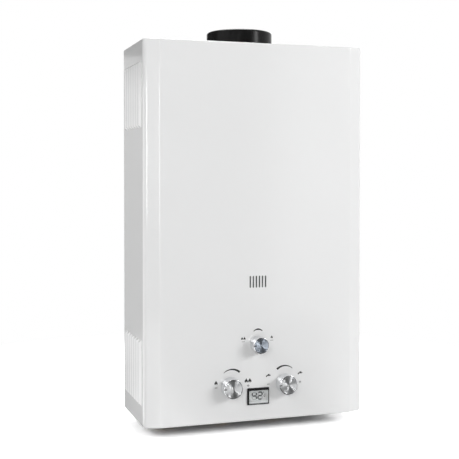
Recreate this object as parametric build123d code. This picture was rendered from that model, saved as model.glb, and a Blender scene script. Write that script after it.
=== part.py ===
from build123d import *
import math
import os

# Wall-hung instantaneous gas water heater, in millimetres.
# The wall is the plane y = 0 and the front faces -y. The origin is the centre of the four wall holes.

# Case: folded sheet cover over a back panel and a bottom plate
case_width = 430.0
case_height = 700.0
case_depth = 178.0
cover_sheet = 1.0
band_width = 28.0
band_angle = 18.0
corner_radius = 10.0
crease_radius = 4.0
edge_round = 1.6
least_round = 0.5
cover_back_gap = 1.5
lip_width = 12.0
back_sheet = 1.0
plate_sheet = 1.2
panel_clearance = 0.4
flange_depth = 16.0

# Wall fixing ears
ear_width = 40.0
ear_reach = 22.0
ear_round = 6.0
wall_hole_radius = 4.0
wall_hole_spacing = 190.0
wall_hole_rise = 11.0

# Stiffening beads pressed into the back panel
bead_offset = 75.0
bead_width = 12.0
bead_depth = 2.5
bead_low = 250.0
bead_length = 270.0

# Pressed louvres on both sides
louvre_count = 7
louvre_length = 120.0
louvre_width = 13.0
louvre_bulge = 4.0
louvre_end_slope = 5.0
louvre_trim = 1.25
louvre_hidden_run = 3.0
louvre_mouth = 0.6
louvre_first = 27.0
louvre_last = 22.8
upper_louvre_drop = 38.0
lower_louvre_height = 36.0

# Sight slots in the front
slot_count = 6
slot_pitch = 6.0
slot_width = 3.0
slot_length = 22.0
slot_height = 258.4

# Knobs
season_knob_height = 142.4
season_knob_radius = 15.0
knob_row_height = 65.7
knob_spacing = 108.0
row_knob_radius = 18.0
knob_rise = 19.0
knob_skirt = 0.7
knob_gap = 0.8
knob_wall = 2.2
knob_cap = 5.0
knob_hub_radius = 6.5
knob_edge_round = 1.0
knob_rim = 1.6
face_recess = 0.6
face_sheet = 0.8
face_gap = 0.1
pointer_width = 2.2
pointer_length = 6.0
spindle_radius = 3.0
spindle_flat = 1.0
spindle_gap = 0.05
spindle_end_gap = 1.0
spindle_hole_gap = 2.5

# Display module
display_width = 43.0
display_tall = 31.0
display_height = 45.3
display_proud = 2.0
display_body_margin = 2.0
display_body_depth = 8.0
display_fit = 0.2
window_width = 35.0
window_tall = 21.5
window_shift_x = 0.5
window_shift_z = -0.75
window_lip = 1.2
module_margin = 0.6
module_gap = 0.1
lens_sheet = 1.4

# Fixings
screw_radius = 2.0
screw_head_radius = 3.8
screw_head_height = 2.2
screw_length = 8.0
screw_gap = 0.15
cover_screw_offset = 150.0

# Flue collar, gasket and draft hood
collar_radius = 63.5
collar_rise = 33.0
collar_wall = 1.6
collar_step = 1.0
rim_round = 4.0
rim_lip = 5.5
collar_insert = 30.0
flue_wall_gap = 69.0
gasket_thick = 2.0
gasket_width = 3.2
gasket_gap = 0.3
cover_hole_gap = 0.7
flange_notch_gap = 4.0
hood_sheet = 1.2
hood_skirt = 40.0
neck_gap = 0.3
neck_height = 26.0
hood_seat = 2.4
relief_width = 120.0
relief_height = 26.0
relief_rise = 7.0

# Heat exchanger and firebox
side_bay = 62.8
core_wall_gap = 28.8
core_front_gap = 26.8
core_sheet = 1.2
casing_height = 60.0
firebox_height = 164.0
firebox_round = 16.0
joint_flange = 8.0
tube_radius = 7.0
tube_wall = 0.8
tube_gap = 0.2
pass_count = 5
pass_margin = 15.2
bend_stand_off = 2.0
entry_stub = 10.0
fin_count = 34
fin_sheet = 0.8
fin_margin = 8.0
fin_edge_gap = 0.5
fin_end_gap = 4.0
coil_gap = 0.3
coil_bend = 22.0
coil_top_drop = 12.0
coil_pitch = 86.0
coil_level_run = 24.0
coil_ease = 60.0
coil_exit_drop = 7.0
coil_tail = 40.0
bracket_offset = 112.0
bracket_width = 40.0
bracket_sheet = 1.5
bracket_inset = 5.0

# Burner
tray_drop = 2.4
tray_above_ledge = 26.8
ledge_rise = 20.8
ledge_depth = 8.0
bar_count = 11
bar_side_gap = 30.0
bar_width = 11.0
bar_height = 24.0
bar_end_gap = 0.5
venturi_radius = 5.4
venturi_bore = 4.6
bar_wall = 1.0
bar_roof = 2.0
venturi_length = 70.0
mouth_set_back = 7.0
port_count = 9
port_width = 1.2
port_depth = 6.0
port_margin = 12.0
air_window_margin = 18.0
air_window_drop = 9.4
air_window_rise = 9.6

# Gas manifold and injectors
manifold_size = 20.0
manifold_depth = 18.0
manifold_lug = 2.8
manifold_lug_width = 12.0
manifold_end_gap = 5.0
channel_radius = 6.0
channel_end_wall = 8.0
plug_length = 10.0
plug_gap = 0.1
plug_head_radius = 8.0
plug_head_height = 3.0
injector_radius = 4.0
injector_base = 5.0
injector_tip_radius = 2.2
injector_tip = 3.0
injector_jet = 0.5

# Season valve between gas valve and manifold
season_valve_radius = 18.0
season_valve_front_gap = 8.0
season_valve_tail = 14.0
season_bore = 8.0
season_bore_end = 6.0
season_boss_radius = 10.0
season_boss_reach = 30.0
gas_port = 5.8
riser_spread = 10.0
riser_radius = 6.0
riser_bore = 4.0
riser_rise = 18.0
valve_plug_gap = 0.3
plug_set_back = 2.0
plug_end_gap = 1.0

# Gas valve and water valve, side by side behind the two lower knobs
valve_wall_gap = 95.0
valve_depth = 60.0
valve_height = 64.0
valve_inner_reach = 24.0
gas_outer_reach = 32.0
water_outer_reach = 44.0
valve_bracket_rise = 30.0
valve_bracket_gap = 3.0
inlet_socket = 8.1
inlet_socket_depth = 10.0
inlet_passage = 6.0
outlet_offset = 17.0
gas_bend = 16.0
control_bore = 6.0
control_bore_depth = 17.0
chamber_radius = 12.0
seat_wall = 8.0
rod_hole = 3.2
cap_spigot = 12.0
cap_spigot_gap = 0.1
cap_flange_radius = 17.0
cap_flange = 4.0
plunger_radius = 10.5
plunger_thick = 4.0
plunger_stem_radius = 3.0
plunger_stem = 16.0
seat_gap = 0.3
spring_radius = 7.0
spring_wire = 0.7
spring_turns = 6
spring_end_gap = 0.3
solenoid_radius = 13.0
solenoid_height = 36.0
solenoid_offset_x = 8.0
solenoid_offset_y = 13.0
solenoid_bore = 4.4
solenoid_well = 14.0
solenoid_roof = 5.0
solenoid_plunger_radius = 4.0
solenoid_travel = 2.5
solenoid_foot_gap = 0.3
barrel_radius = 17.0
inlet_boss = 14.0
control_boss = 12.0
outlet_boss = 11.0
drain_boss = 9.0
pad_width = 40.0
pad_half_height = 12.0
water_bore = 10.0
water_bore_length = 30.0
water_gallery = 6.0
water_gallery_end = 12.0
water_outlet_offset = 26.0
outlet_socket_depth = 6.0
flange_radius = 38.0
flange_thick = 8.0
diaphragm_recess = 26.0
diaphragm_recess_depth = 6.0
diaphragm_radius = 36.0
diaphragm_thick = 2.0
valve_cover_thick = 14.0
valve_cover_recess = 8.0
diaphragm_screw_count = 6
diaphragm_screw_circle = 31.5
rod_radius = 2.5
rod_plate_radius = 22.0
rod_plate = 2.0
rod_plate_gap = 0.2
collar_disc_radius = 7.0
collar_disc = 3.0
collar_disc_offset = 15.0

# Microswitch worked by the push rod
switch_depth = 10.0
switch_height = 14.0
switch_rise = 18.3
lug_drop = 6.0
lug_length = 5.0
lug_sheet = 2.0
lever_sheet = 1.0
lever_width = 5.0
lever_gap = 0.3
lever_barrel = 1.9
lever_pin = 1.0
lever_pin_gap = 0.05
lever_pivot_drop = 3.0
lever_reach = 11.0

# Pipe connections under the bottom plate
thread_radius = 10.48
thread_length = 19.0
thread_gap = 1.0
undercut_radius = 9.3
hex_across = 27.0
hex_height = 8.0
tail_radius = 10.0
spigot_gap = 0.1
spigot_length = 6.0
fitting_bore = 6.5
plate_hole_gap = 0.32
hot_tail_height = 22.0
hot_side_gap = 54.0
hot_jog_rise = 130.0
hot_jog_drop = 42.0
pipe_socket = 8.0
pipe_fit = 0.1
filter_sheet = 0.8
filter_gap = 0.1
filter_length = 16.0
filter_set_in = 2.0
side_run_gap = 25.0
cold_run_drop = 21.0
pipe_bend = 20.0

# Drain valve
drain_offset = 28.0
drain_radius = 7.5
drain_drop = 3.0
drain_port = 5.0
drain_bore = 3.7
drain_spigot_length = 8.0
drain_stem_radius = 3.4
drain_stem_rise = 14.0
drain_knob_radius = 9.5
drain_knob_height = 10.0
drain_knob_gap = 0.5
drain_hole_gap = 0.8
drain_grip_count = 8
drain_grip_radius = 1.6

# Igniter, electrodes and thermostat
igniter_width = 80.0
igniter_height = 80.0
igniter_depth = 36.0
igniter_side_gap = 18.0
igniter_tray_gap = 12.0
igniter_round = 4.0
electrode_offset = 20.0
electrode_rise = 14.0
insulator_radius = 3.5
insulator_outer = 12.0
insulator_inner = 14.0
insulator_collar_radius = 5.5
insulator_collar = 3.0
insulator_bore_gap = 0.1
electrode_radius = 1.2
electrode_outer = 16.0
electrode_inner = 34.0
wall_hole_gap = 0.2
thermostat_rise = 180.0
thermostat_radius = 8.0
thermostat_length = 10.0
clip_sheet = 1.2
clip_height = 8.0

# Battery box with its hinged door
battery_side_gap = 46.0
battery_wall_gap = 100.0
cell_radius = 17.1
cell_length = 61.5
cell_count = 2
nub_radius = 5.0
nub_height = 2.0
cell_side_gap = 0.9
cell_end_gap = 0.3
box_wall = 2.2
box_flange = 5.5
box_flange_sheet = 2.0
door_gap = 0.6
door_sheet = 3.0
door_overlap = 4.0
hinge_set_back = 4.0
hinge_ear_radius = 2.9
hinge_ear_width = 4.0
hinge_ear_offset = 13.0
hinge_pin_radius = 1.2
hinge_pin_gap = 0.1
knuckle_radius = 2.6
knuckle_gap = 0.3
hinge_edge = 4.2
hinge_opening_gap = 1.2
finger_tab_width = 16.0
finger_tab_reach = 3.0

# Planes and levels that the pieces share
floor_z = -case_height / 2
top_z = case_height / 2
front_y = -case_depth
flat_half = case_width / 2 - band_width
louvre_span = case_depth - louvre_first - louvre_last - louvre_width
louvre_pitch = louvre_span / (louvre_count - 1)
louvre_lows = (top_z - upper_louvre_drop - louvre_length, floor_z + lower_louvre_height)
panel_front = -back_sheet
cover_back = -cover_back_gap
inner_half = case_width / 2 - cover_sheet
plate_low = floor_z + cover_sheet
plate_top = plate_low + plate_sheet
wall_hole_z = top_z + wall_hole_rise
panel_half = inner_half - panel_clearance
panel_top = top_z - cover_sheet - panel_clearance
season_z = floor_z + season_knob_height
row_z = floor_z + knob_row_height
row_x = knob_spacing / 2
display_z = floor_z + display_height
flue_y = -flue_wall_gap
spigot_radius = collar_radius - collar_step
neck_radius = spigot_radius - collar_wall - neck_gap
shoulder_z = top_z - collar_insert
core_half = inner_half - side_bay
core_back = -core_wall_gap
core_front = front_y + core_front_gap
manifold_low = season_z + season_valve_radius + riser_rise
manifold_mid = manifold_low + manifold_size / 2
manifold_rear = core_front - manifold_lug
manifold_front = manifold_rear - manifold_depth
manifold_y = (manifold_rear + manifold_front) / 2
tray_low = manifold_low - tray_drop
ledge_top = manifold_mid + ledge_rise
tray_top = ledge_top + tray_above_ledge
firebox_top = tray_top + firebox_height
casing_top = firebox_top + casing_height
tube_z = firebox_top + casing_height / 2
pass_pitch = (core_back - core_front - 2 * pass_margin) / (pass_count - 1)
pass_y = [core_back - pass_margin - pass_pitch * i for i in range(pass_count)]
pipe_x = inner_half - side_run_gap
hot_x = inner_half - hot_side_gap
link_y = -valve_wall_gap
link_z = row_z
valve_front = link_y - valve_depth / 2
valve_rear = link_y + valve_depth / 2
valve_low = link_z - valve_height / 2
valve_high = link_z + valve_height / 2
gas_inner = -row_x + valve_inner_reach
gas_outer = -row_x - gas_outer_reach
gas_outlet_y = link_y - outlet_offset
gas_seat = gas_inner - seat_wall
spring_wall = gas_outer + cap_spigot
plunger_face = gas_seat - seat_gap
plunger_back = plunger_face - plunger_thick
water_inner = row_x - valve_inner_reach
water_outer = row_x + water_outer_reach
water_outlet_x = row_x + water_outlet_offset
flange_face = water_inner - flange_thick
diaphragm_face = flange_face - diaphragm_thick
valve_cover_face = diaphragm_face - valve_cover_thick
rod_plate_face = diaphragm_face - rod_plate_gap
season_front = front_y + season_valve_front_gap
season_rear = gas_outlet_y + season_valve_tail
season_bore_rear = season_rear - season_bore_end
drain_x = row_x + drain_offset
battery_x = inner_half - battery_side_gap
battery_y = -battery_wall_gap
cell_half = cell_radius + cell_side_gap
box_half = cell_half + box_wall
door_top = plate_low - door_gap
door_low = door_top - door_sheet
hinge_y = battery_y + box_half + hinge_set_back
hinge_z = (door_top + door_low) / 2
cells_low = door_top + cell_end_gap
box_roof = cells_low + cell_count * cell_length + cell_end_gap
bar_reach = core_half - core_sheet - bar_side_gap
bar_pitch = 2 * bar_reach / (bar_count - 1)
bar_row = [index * bar_pitch - bar_reach for index in range(bar_count)]
MIDDLE = (Align.CENTER, Align.CENTER, Align.MIN)


def block(x, y, z):
    """Box between two limits on each axis."""
    limits = [sorted(pair) for pair in (x, y, z)]
    middle = [(low + high) / 2 for low, high in limits]
    size = [high - low for low, high in limits]
    return Pos(*middle) * Box(*size)


def rod(start, end, radius):
    """Round bar between two points."""
    foot = Vector(start)
    span = Vector(end) - foot
    return Plane(origin=foot, z_dir=span) * Cylinder(radius, span.length, align=MIDDLE)


def pipe(path, outer, wall):
    """Hollow tube along a path of lines and arcs."""
    mouth = Plane(origin=path @ 0, z_dir=path % 0)
    return sweep(mouth * (Circle(outer) - Circle(outer - wall)), path=path)


def screw(seat, inward, length):
    """Pan-head screw with its head outside the seat."""
    foot = Vector(seat)
    along = Vector(inward)
    head = rod(foot, foot - along * screw_head_height, screw_head_radius)
    return head + rod(foot, foot + along * length, screw_radius)


def case_outline(inset, back):
    """Plan outline of the case, drawn in by the inset and closed along y = back."""
    slope = math.radians(band_angle)
    side = case_width / 2 - inset
    front = front_y + inset
    crease = flat_half - inset * math.tan(slope / 2)
    band_run = side - flat_half
    shoulder = front_y + (band_run * math.sin(slope) + inset) / math.cos(slope)
    left = [(-side, back), (-side, shoulder), (-crease, front)]
    right = [(crease, front), (side, shoulder), (side, back)]
    corner = max(corner_radius - inset, least_round)
    bend = max(crease_radius - inset, least_round)
    line = FilletPolyline(*left, *right, radius=[corner, bend, bend, corner])
    return make_face(line.edges() + Line(right[-1], left[0]).edges())


def louvre(side, front, low):
    """One pressed louvre on the side given by its sign: the rounded vane and the hollow under it."""
    plane = side * case_width / 2
    rear = front + louvre_width
    high = low + louvre_length
    sunk = plane - side * cover_sheet / 2
    crest = plane + side * louvre_bulge
    radius = (louvre_width ** 2 + louvre_bulge ** 2) / (2 * louvre_bulge)
    axis = Plane(origin=(crest - side * radius, rear, low), x_dir=(0, 1, 0), z_dir=(0, 0, 1))
    over = plane + side * louvre_bulge * louvre_trim
    trimmed = louvre_end_slope * louvre_trim
    ends = [(x, y, z) for x in (sunk, plane) for y in (front, rear) for z in (low, high)]
    ends += [(over, y, z) for y in (front, rear) for z in (low + trimmed, high - trimmed)]
    vane = ConvexPolyhedron(ends) & axis * Cylinder(radius, louvre_length, align=MIDDLE)
    inside = plane - side * 2 * cover_sheet
    mouth = (front + louvre_hidden_run, rear + louvre_mouth)
    throat = (low + louvre_end_slope + cover_sheet, high - louvre_end_slope - cover_sheet)
    bore = axis * Cylinder(radius - cover_sheet, louvre_length, align=MIDDLE)
    return vane, block((inside, crest), mouth, throat) & bore


def louvres():
    """All vanes and hollows: two panels of upright louvres on each side."""
    vanes = []
    hollows = []
    for side in (-1, 1):
        for low in louvre_lows:
            for index in range(louvre_count):
                front = front_y + louvre_first + index * louvre_pitch
                vane, hollow = louvre(side, front, low)
                vanes.append(vane)
                hollows.append(hollow)
    return vanes, hollows


def cover_screw_seats():
    """Seats and directions of the screws that hold the cover at its top and at its bottom lip."""
    top_y = cover_back - flange_depth / 2
    lip_x = inner_half - lip_width / 2
    seats = []
    for side in (-1, 1):
        seats.append(((side * cover_screw_offset, top_y, top_z), (0, 0, -1)))
        seats.append(((side * lip_x, front_y / 2, floor_z), (0, 0, 1)))
    return seats


def cover_screw_holes():
    """Clearance holes along the cover screws."""
    holes = []
    for seat, inward in cover_screw_seats():
        foot = Vector(seat)
        run = Vector(inward) * screw_length
        holes.append(rod(foot - run, foot + run, screw_radius + screw_gap))
    return holes


def front_cover():
    """Sheet shell with front, sides, top and a lip along the bottom."""
    shell = extrude(Pos(0, 0, floor_z) * case_outline(0, cover_back), case_height)
    at_end = [e for e in shell.edges() if abs(abs(e.center().Z) - top_z) < least_round]
    rim = [e for e in at_end if e.center().Y < cover_back - least_round]
    shell = fillet(rim, edge_round)
    cavity_height = case_height - 2 * cover_sheet
    cavity = extrude(Pos(0, 0, plate_low) * case_outline(cover_sheet, cover_sheet), cavity_height)
    mouth_outline = case_outline(cover_sheet + lip_width, cover_sheet)
    mouth = extrude(Pos(0, 0, floor_z - cover_sheet) * mouth_outline, 3 * cover_sheet)
    shell = shell - cavity - mouth
    vanes, hollows = louvres()
    shell = shell + vanes - hollows
    cuts = [rod((0, flue_y, top_z - 2 * cover_sheet), (0, flue_y, top_z + cover_sheet),
                spigot_radius + cover_hole_gap)]
    near = front_y - cover_sheet
    far = front_y + 2 * cover_sheet
    for x, z in ((0, season_z), (-row_x, row_z), (row_x, row_z)):
        cuts.append(rod((x, near, z), (x, far, z), spindle_radius + spindle_hole_gap))
    for index in range(slot_count):
        x = (index - (slot_count - 1) / 2) * slot_pitch
        place = Plane(origin=(x, far, floor_z + slot_height), x_dir=(1, 0, 0), z_dir=(0, -1, 0))
        slot = place * SlotOverall(slot_length, slot_width, rotation=90)
        cuts.append(extrude(slot, 3 * cover_sheet))
    half_x = display_width / 2 - display_body_margin + display_fit
    half_z = display_tall / 2 - display_body_margin + display_fit
    cuts.append(block((-half_x, half_x), (near, far), (display_z - half_z, display_z + half_z)))
    return shell - cuts - cover_screw_holes()


def back_panel():
    """Galvanised tray on the wall: plate, four folded flanges, pressed beads and four ears."""
    low = plate_low + panel_clearance
    panel = block((-panel_half, panel_half), (panel_front, 0), (low, panel_top))
    reach = panel_front - flange_depth
    flange_low = plate_top + back_sheet
    flange_top = panel_top - back_sheet
    panel += block((-panel_half, panel_half), (reach, panel_front), (plate_top, flange_low))
    panel += block((-panel_half, panel_half), (reach, panel_front), (flange_top, panel_top))
    for side in (-1, 1):
        wall = sorted((side * panel_half, side * (panel_half - back_sheet)))
        panel += block(wall, (reach, panel_front), (flange_low, flange_top))
    notch = collar_radius + flange_notch_gap
    panel -= block((-notch, notch), (reach - back_sheet, panel_front), (flange_top - back_sheet, top_z))
    for side in (-1, 1):
        bead_x = side * bead_offset
        bead_z = (floor_z + bead_low, floor_z + bead_low + bead_length)
        half = bead_width / 2
        inner = half - back_sheet
        panel += block((bead_x - half, bead_x + half), (panel_front - bead_depth, panel_front), bead_z)
        groove_z = (bead_z[0] + back_sheet, bead_z[1] - back_sheet)
        panel -= block((bead_x - inner, bead_x + inner), (-bead_depth, back_sheet), groove_z)
        for end in (-1, 1):
            ear = ear_plate(side * wall_hole_spacing / 2, end)
            panel += ear
    for side in (-1, 1):
        for end in (-1, 1):
            x = side * wall_hole_spacing / 2
            z = end * wall_hole_z
            panel -= rod((x, 2 * panel_front, z), (x, back_sheet, z), wall_hole_radius)
    return panel - cover_screw_holes()


def ear_plate(x, end):
    """Ear of the back panel past the top (end 1) or the bottom (end -1) of the case."""
    tip = end * (top_z + ear_reach)
    root = end * (panel_top - ear_round)
    ear = block((x - ear_width / 2, x + ear_width / 2), (panel_front, 0), (root, tip))
    corners = [e for e in ear.edges().filter_by(Axis.Y) if abs(e.center().Z - tip) < least_round]
    return fillet(corners, ear_round)


def bottom_plate():
    """Sheet floor of the case, lying on the cover's lip, with the holes for what passes through."""
    outline = case_outline(cover_sheet + panel_clearance, panel_front)
    plate = extrude(Pos(0, 0, plate_low) * outline, plate_sheet)
    low = plate_low - plate_sheet
    high = plate_top + plate_sheet
    cuts = []
    for x in (-hot_x, -row_x, row_x):
        cuts.append(rod((x, link_y, low), (x, link_y, high), thread_radius + plate_hole_gap))
    cuts.append(rod((drain_x, link_y, low), (drain_x, link_y, high), drain_radius + drain_hole_gap))
    cell_x = (battery_x - cell_half, battery_x + cell_half)
    cell_y = (battery_y - cell_half, battery_y + cell_half)
    cuts.append(block(cell_x, cell_y, (low, high)))
    reach = hinge_ear_offset + hinge_ear_width / 2 + hinge_opening_gap
    across = hinge_ear_radius + hinge_opening_gap
    cuts.append(block((battery_x - reach, battery_x + reach), (hinge_y - across, hinge_y + across),
                      (low, high)))
    return plate - cuts - cover_screw_holes()


def cover_screws():
    """Screws of the cover, two at the top and two in the bottom lip."""
    return Compound([screw(seat, inward, screw_length).solid() for seat, inward in cover_screw_seats()])


def flue_collar():
    """Round outlet with a rolled rim, slipped over the neck of the hood."""
    seat = top_z + gasket_thick
    rim = top_z + collar_rise
    inner = collar_radius - collar_wall
    outside = rod((0, flue_y, seat), (0, flue_y, rim), collar_radius)
    outside = fillet(outside.edges().group_by(Axis.Z)[-1], rim_round)
    inside = rod((0, flue_y, seat - collar_wall), (0, flue_y, rim - collar_wall), inner)
    inside = fillet(inside.edges().group_by(Axis.Z)[-1], rim_round - collar_wall)
    mouth = rod((0, flue_y, seat), (0, flue_y, rim + collar_wall), collar_radius - rim_lip)
    spigot = rod((0, flue_y, shoulder_z), (0, flue_y, seat + collar_wall), spigot_radius)
    way = rod((0, flue_y, shoulder_z - collar_wall), (0, flue_y, rim - rim_round), neck_radius + neck_gap)
    return (outside - inside + spigot - mouth) - way


def collar_gasket():
    """Flat ring between the top of the cover and the shoulder of the collar."""
    inner = spigot_radius + gasket_gap
    ring = rod((0, flue_y, top_z), (0, flue_y, top_z + gasket_thick), inner + gasket_width)
    return ring - rod((0, flue_y, top_z - gasket_thick), (0, flue_y, top_z + 2 * gasket_thick), inner)


def draft_hood():
    """Sheet hood from the exchanger up to the round neck, with a relief opening in its front."""
    reach = neck_radius + neck_gap + hood_seat
    skirt_top = casing_top + hood_skirt

    def frustum(inset, level):
        foot = [(x, y, skirt_top) for x in (inset - core_half, core_half - inset)
                for y in (core_front + inset, core_back - inset)]
        head = [(x, y, level) for x in (inset - reach, reach - inset)
                for y in (flue_y - reach + inset, flue_y + reach - inset)]
        return ConvexPolyhedron(foot + head)

    outer = block((-core_half, core_half), (core_front, core_back), (casing_top, skirt_top))
    outer += frustum(0, shoulder_z)
    inner_x = core_half - hood_sheet
    inner = block((-inner_x, inner_x), (core_front + hood_sheet, core_back - hood_sheet),
                  (casing_top - hood_sheet, skirt_top))
    inner += frustum(hood_sheet, shoulder_z - hood_sheet)
    neck = rod((0, flue_y, shoulder_z), (0, flue_y, shoulder_z + neck_height), neck_radius)
    way = rod((0, flue_y, shoulder_z - 2 * hood_sheet), (0, flue_y, top_z), neck_radius - hood_sheet)
    relief = block((-relief_width / 2, relief_width / 2),
                   (core_front - hood_sheet, core_front + 2 * hood_sheet),
                   (casing_top + relief_rise, casing_top + relief_rise + relief_height))
    return outer + neck - inner - way - relief


def exchanger_casing():
    """Open sheet frame that carries the exchanger tubes through its end walls."""
    casing = block((-core_half, core_half), (core_front, core_back), (firebox_top, casing_top))
    inner_x = core_half - core_sheet
    casing -= block((-inner_x, inner_x), (core_front + core_sheet, core_back - core_sheet),
                    (firebox_top - core_sheet, casing_top + core_sheet))
    reach = core_half + core_sheet
    holes = [rod((-reach, y, tube_z), (reach, y, tube_z), tube_radius + tube_gap) for y in pass_y]
    return casing - holes


def exchanger_fins():
    """Copper plates threaded on the exchanger tubes."""
    inset = core_sheet + fin_edge_gap
    depth = (core_front + inset, core_back - inset)
    height = (firebox_top + fin_end_gap, casing_top - fin_end_gap)
    run = core_half - core_sheet - fin_margin
    first = block((-run, -run + fin_sheet), depth, height)
    for y in pass_y:
        first -= rod((-core_half, y, tube_z), (0, y, tube_z), tube_radius + tube_gap)
    pitch = (2 * run - fin_sheet) / (fin_count - 1)
    return Compound([(Pos(index * pitch, 0, 0) * first).solid() for index in range(fin_count)])


def coil_corners():
    """Corners of the firebox coil: round and round the four walls at a steady fall."""
    x = core_half + tube_radius + coil_gap
    y_front = core_front - tube_radius - coil_gap
    y_back = core_back + tube_radius + coil_gap
    plan = [(x, y_front), (x, y_back), (-x, y_back), (-x, y_front)]
    round_trip = 4 * x + 2 * (y_back - y_front)
    level = firebox_top - coil_top_drop
    corners = [(x, y_front, level)]
    for step in range(1, 7):
        here = plan[step % 4]
        last = plan[(step - 1) % 4]
        level -= coil_pitch * math.dist(here, last) / round_trip
        corners.append((*here, level))
    return corners


def coil_exit_z():
    """Level at which the coil leaves the firebox for the hot pipe."""
    return coil_corners()[-1][2] - coil_exit_drop


def exchanger_tube():
    """One copper tube: to and fro through the fins, then around the firebox and down to the hot pipe."""
    turn_x = core_half + bend_stand_off
    here = (core_half + entry_stub, pass_y[0], tube_z)
    edges = []
    for index, y in enumerate(pass_y):
        way = -1 if index % 2 == 0 else 1
        end = (way * turn_x, y, tube_z)
        edges.append(Edge.make_line(here, end))
        front_run = core_front - tube_radius - coil_gap
        following = pass_y[index + 1] if index + 1 < pass_count else front_run
        reach = (y - following) / 2
        middle = (way * (turn_x + reach), y - reach, tube_z)
        here = (way * turn_x, following, tube_z)
        edges.append(Edge.make_three_point_arc(end, middle, here))
    corners = coil_corners()
    exit_z = coil_exit_z()
    ease_point = (here[0] + coil_level_run, here[1], tube_z)
    route = [here, ease_point, *corners, (-pipe_x, link_y, exit_z), (-pipe_x, link_y, exit_z - coil_tail)]
    bends = [coil_ease] + [coil_bend] * (len(corners) + 1)
    coil = FilletPolyline(*route, radius=bends)
    path = Wire(edges + coil.edges())
    tube = pipe(path, tube_radius, tube_wall)
    section = math.pi * (tube_radius ** 2 - (tube_radius - tube_wall) ** 2)
    print("exchanger tube volume over section times length", tube.volume / (section * path.length))
    return tube


def exchanger_brackets():
    """Folded channels that hang the exchanger on the back panel."""
    height = (firebox_top + bracket_inset, casing_top - bracket_inset)
    brackets = []
    for side in (-1, 1):
        x = side * bracket_offset
        half = bracket_width / 2
        inner = half - bracket_sheet
        body = block((x - half, x + half), (core_back, panel_front), height)
        body -= block((x - inner, x + inner), (core_back + bracket_sheet, panel_front - bracket_sheet),
                      (firebox_top, casing_top))
        brackets.append(body.solid())
    return Compound(brackets)


def firebox():
    """Copper combustion chamber, open at top and bottom, with rounded corners and a foot flange."""
    def wall(inset):
        body = block((inset - core_half, core_half - inset), (core_front + inset, core_back - inset),
                     (tray_top, firebox_top))
        return fillet(body.edges().filter_by(Axis.Z), firebox_round - inset)

    reach = joint_flange
    foot = block((-core_half - reach, core_half + reach), (core_front - reach, core_back + reach),
                 (tray_top, tray_top + core_sheet))
    holes = [rod((x, core_front - core_sheet, tray_top + electrode_rise),
                 (x, core_front + 2 * core_sheet, tray_top + electrode_rise),
                 insulator_radius + wall_hole_gap) for x in (-electrode_offset, electrode_offset)]
    return wall(0) + foot - wall(core_sheet) - holes


def burner_tray():
    """Sheet tray under the firebox with ledges for the bars and an air window at the injectors."""
    tray = block((-core_half, core_half), (core_front, core_back), (tray_low, tray_top))
    reach = joint_flange
    tray += block((-core_half - reach, core_half + reach), (core_front - reach, core_back + reach),
                  (tray_top - core_sheet, tray_top))
    inner_x = core_half - core_sheet
    inner_front = core_front + core_sheet
    inner_back = core_back - core_sheet
    tray -= block((-inner_x, inner_x), (inner_front, inner_back),
                  (tray_low - core_sheet, tray_top + core_sheet))
    ledge = (ledge_top - core_sheet, ledge_top)
    tray += block((-inner_x, inner_x), (inner_front, inner_front + ledge_depth), ledge)
    tray += block((-inner_x, inner_x), (inner_back - ledge_depth, inner_back), ledge)
    window_x = core_half - air_window_margin
    tray -= block((-window_x, window_x), (core_front - core_sheet, inner_front + core_sheet),
                  (manifold_mid - air_window_drop, manifold_mid + air_window_rise))
    lug_end = core_half - manifold_end_gap
    for side in (-1, 1):
        tray += block((side * (lug_end - manifold_lug_width), side * lug_end),
                      (manifold_rear, core_front),
                      (manifold_low, manifold_low + manifold_size))
    return tray


def burner_bars():
    """Slim burner bars, each with a gas mouth at the front and flame ports across its top."""
    front = core_front + core_sheet + bar_end_gap
    rear = core_back - core_sheet - bar_end_gap
    mouth = core_front + core_sheet + mouth_set_back
    half = bar_width / 2
    top = ledge_top + bar_height
    web_front = core_front + core_sheet + ledge_depth + bar_end_gap
    web_rear = core_back - core_sheet - ledge_depth - bar_end_gap
    bar = block((-half, half), (front, rear), (ledge_top, top))
    bar += block((-half, half), (web_front + mouth_set_back, web_rear), (manifold_mid, ledge_top))
    bar += rod((0, mouth, manifold_mid), (0, mouth + venturi_length, manifold_mid), venturi_radius)
    bar -= rod((0, mouth - mouth_set_back, manifold_mid),
               (0, mouth + venturi_length - bar_wall, manifold_mid),
               venturi_bore)
    bar -= block((bar_wall - half, half - bar_wall),
                 (web_front + mouth_set_back + bar_wall, web_rear - bar_wall),
                 (manifold_mid, top - bar_roof))
    step = (rear - front - 2 * port_margin) / (port_count - 1)
    for index in range(port_count):
        y = front + port_margin + index * step
        bar -= block((-bar_width, bar_width), (y - port_width / 2, y + port_width / 2),
                     (top - port_depth, top + port_depth))
    return Compound([(Pos(x, 0, 0) * bar).solid() for x in bar_row])


def gas_manifold():
    """Cast bar with one long channel, a hole for each injector and two holes from the season valve."""
    half = core_half - manifold_end_gap
    bar = block((-half, half), (manifold_front, manifold_rear),
                (manifold_low, manifold_low + manifold_size))
    bar -= rod((channel_end_wall - half, manifold_y, manifold_mid), (half + channel_end_wall, manifold_y,
               manifold_mid), channel_radius)
    for x in bar_row:
        bar -= rod((x, manifold_y, manifold_mid), (x, manifold_rear + injector_base, manifold_mid),
                   injector_tip_radius)
    for side in (-1, 1):
        x = side * riser_spread
        bar -= rod((x, manifold_y, manifold_low - riser_bore), (x, manifold_y, manifold_mid), riser_bore)
    return bar


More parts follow.
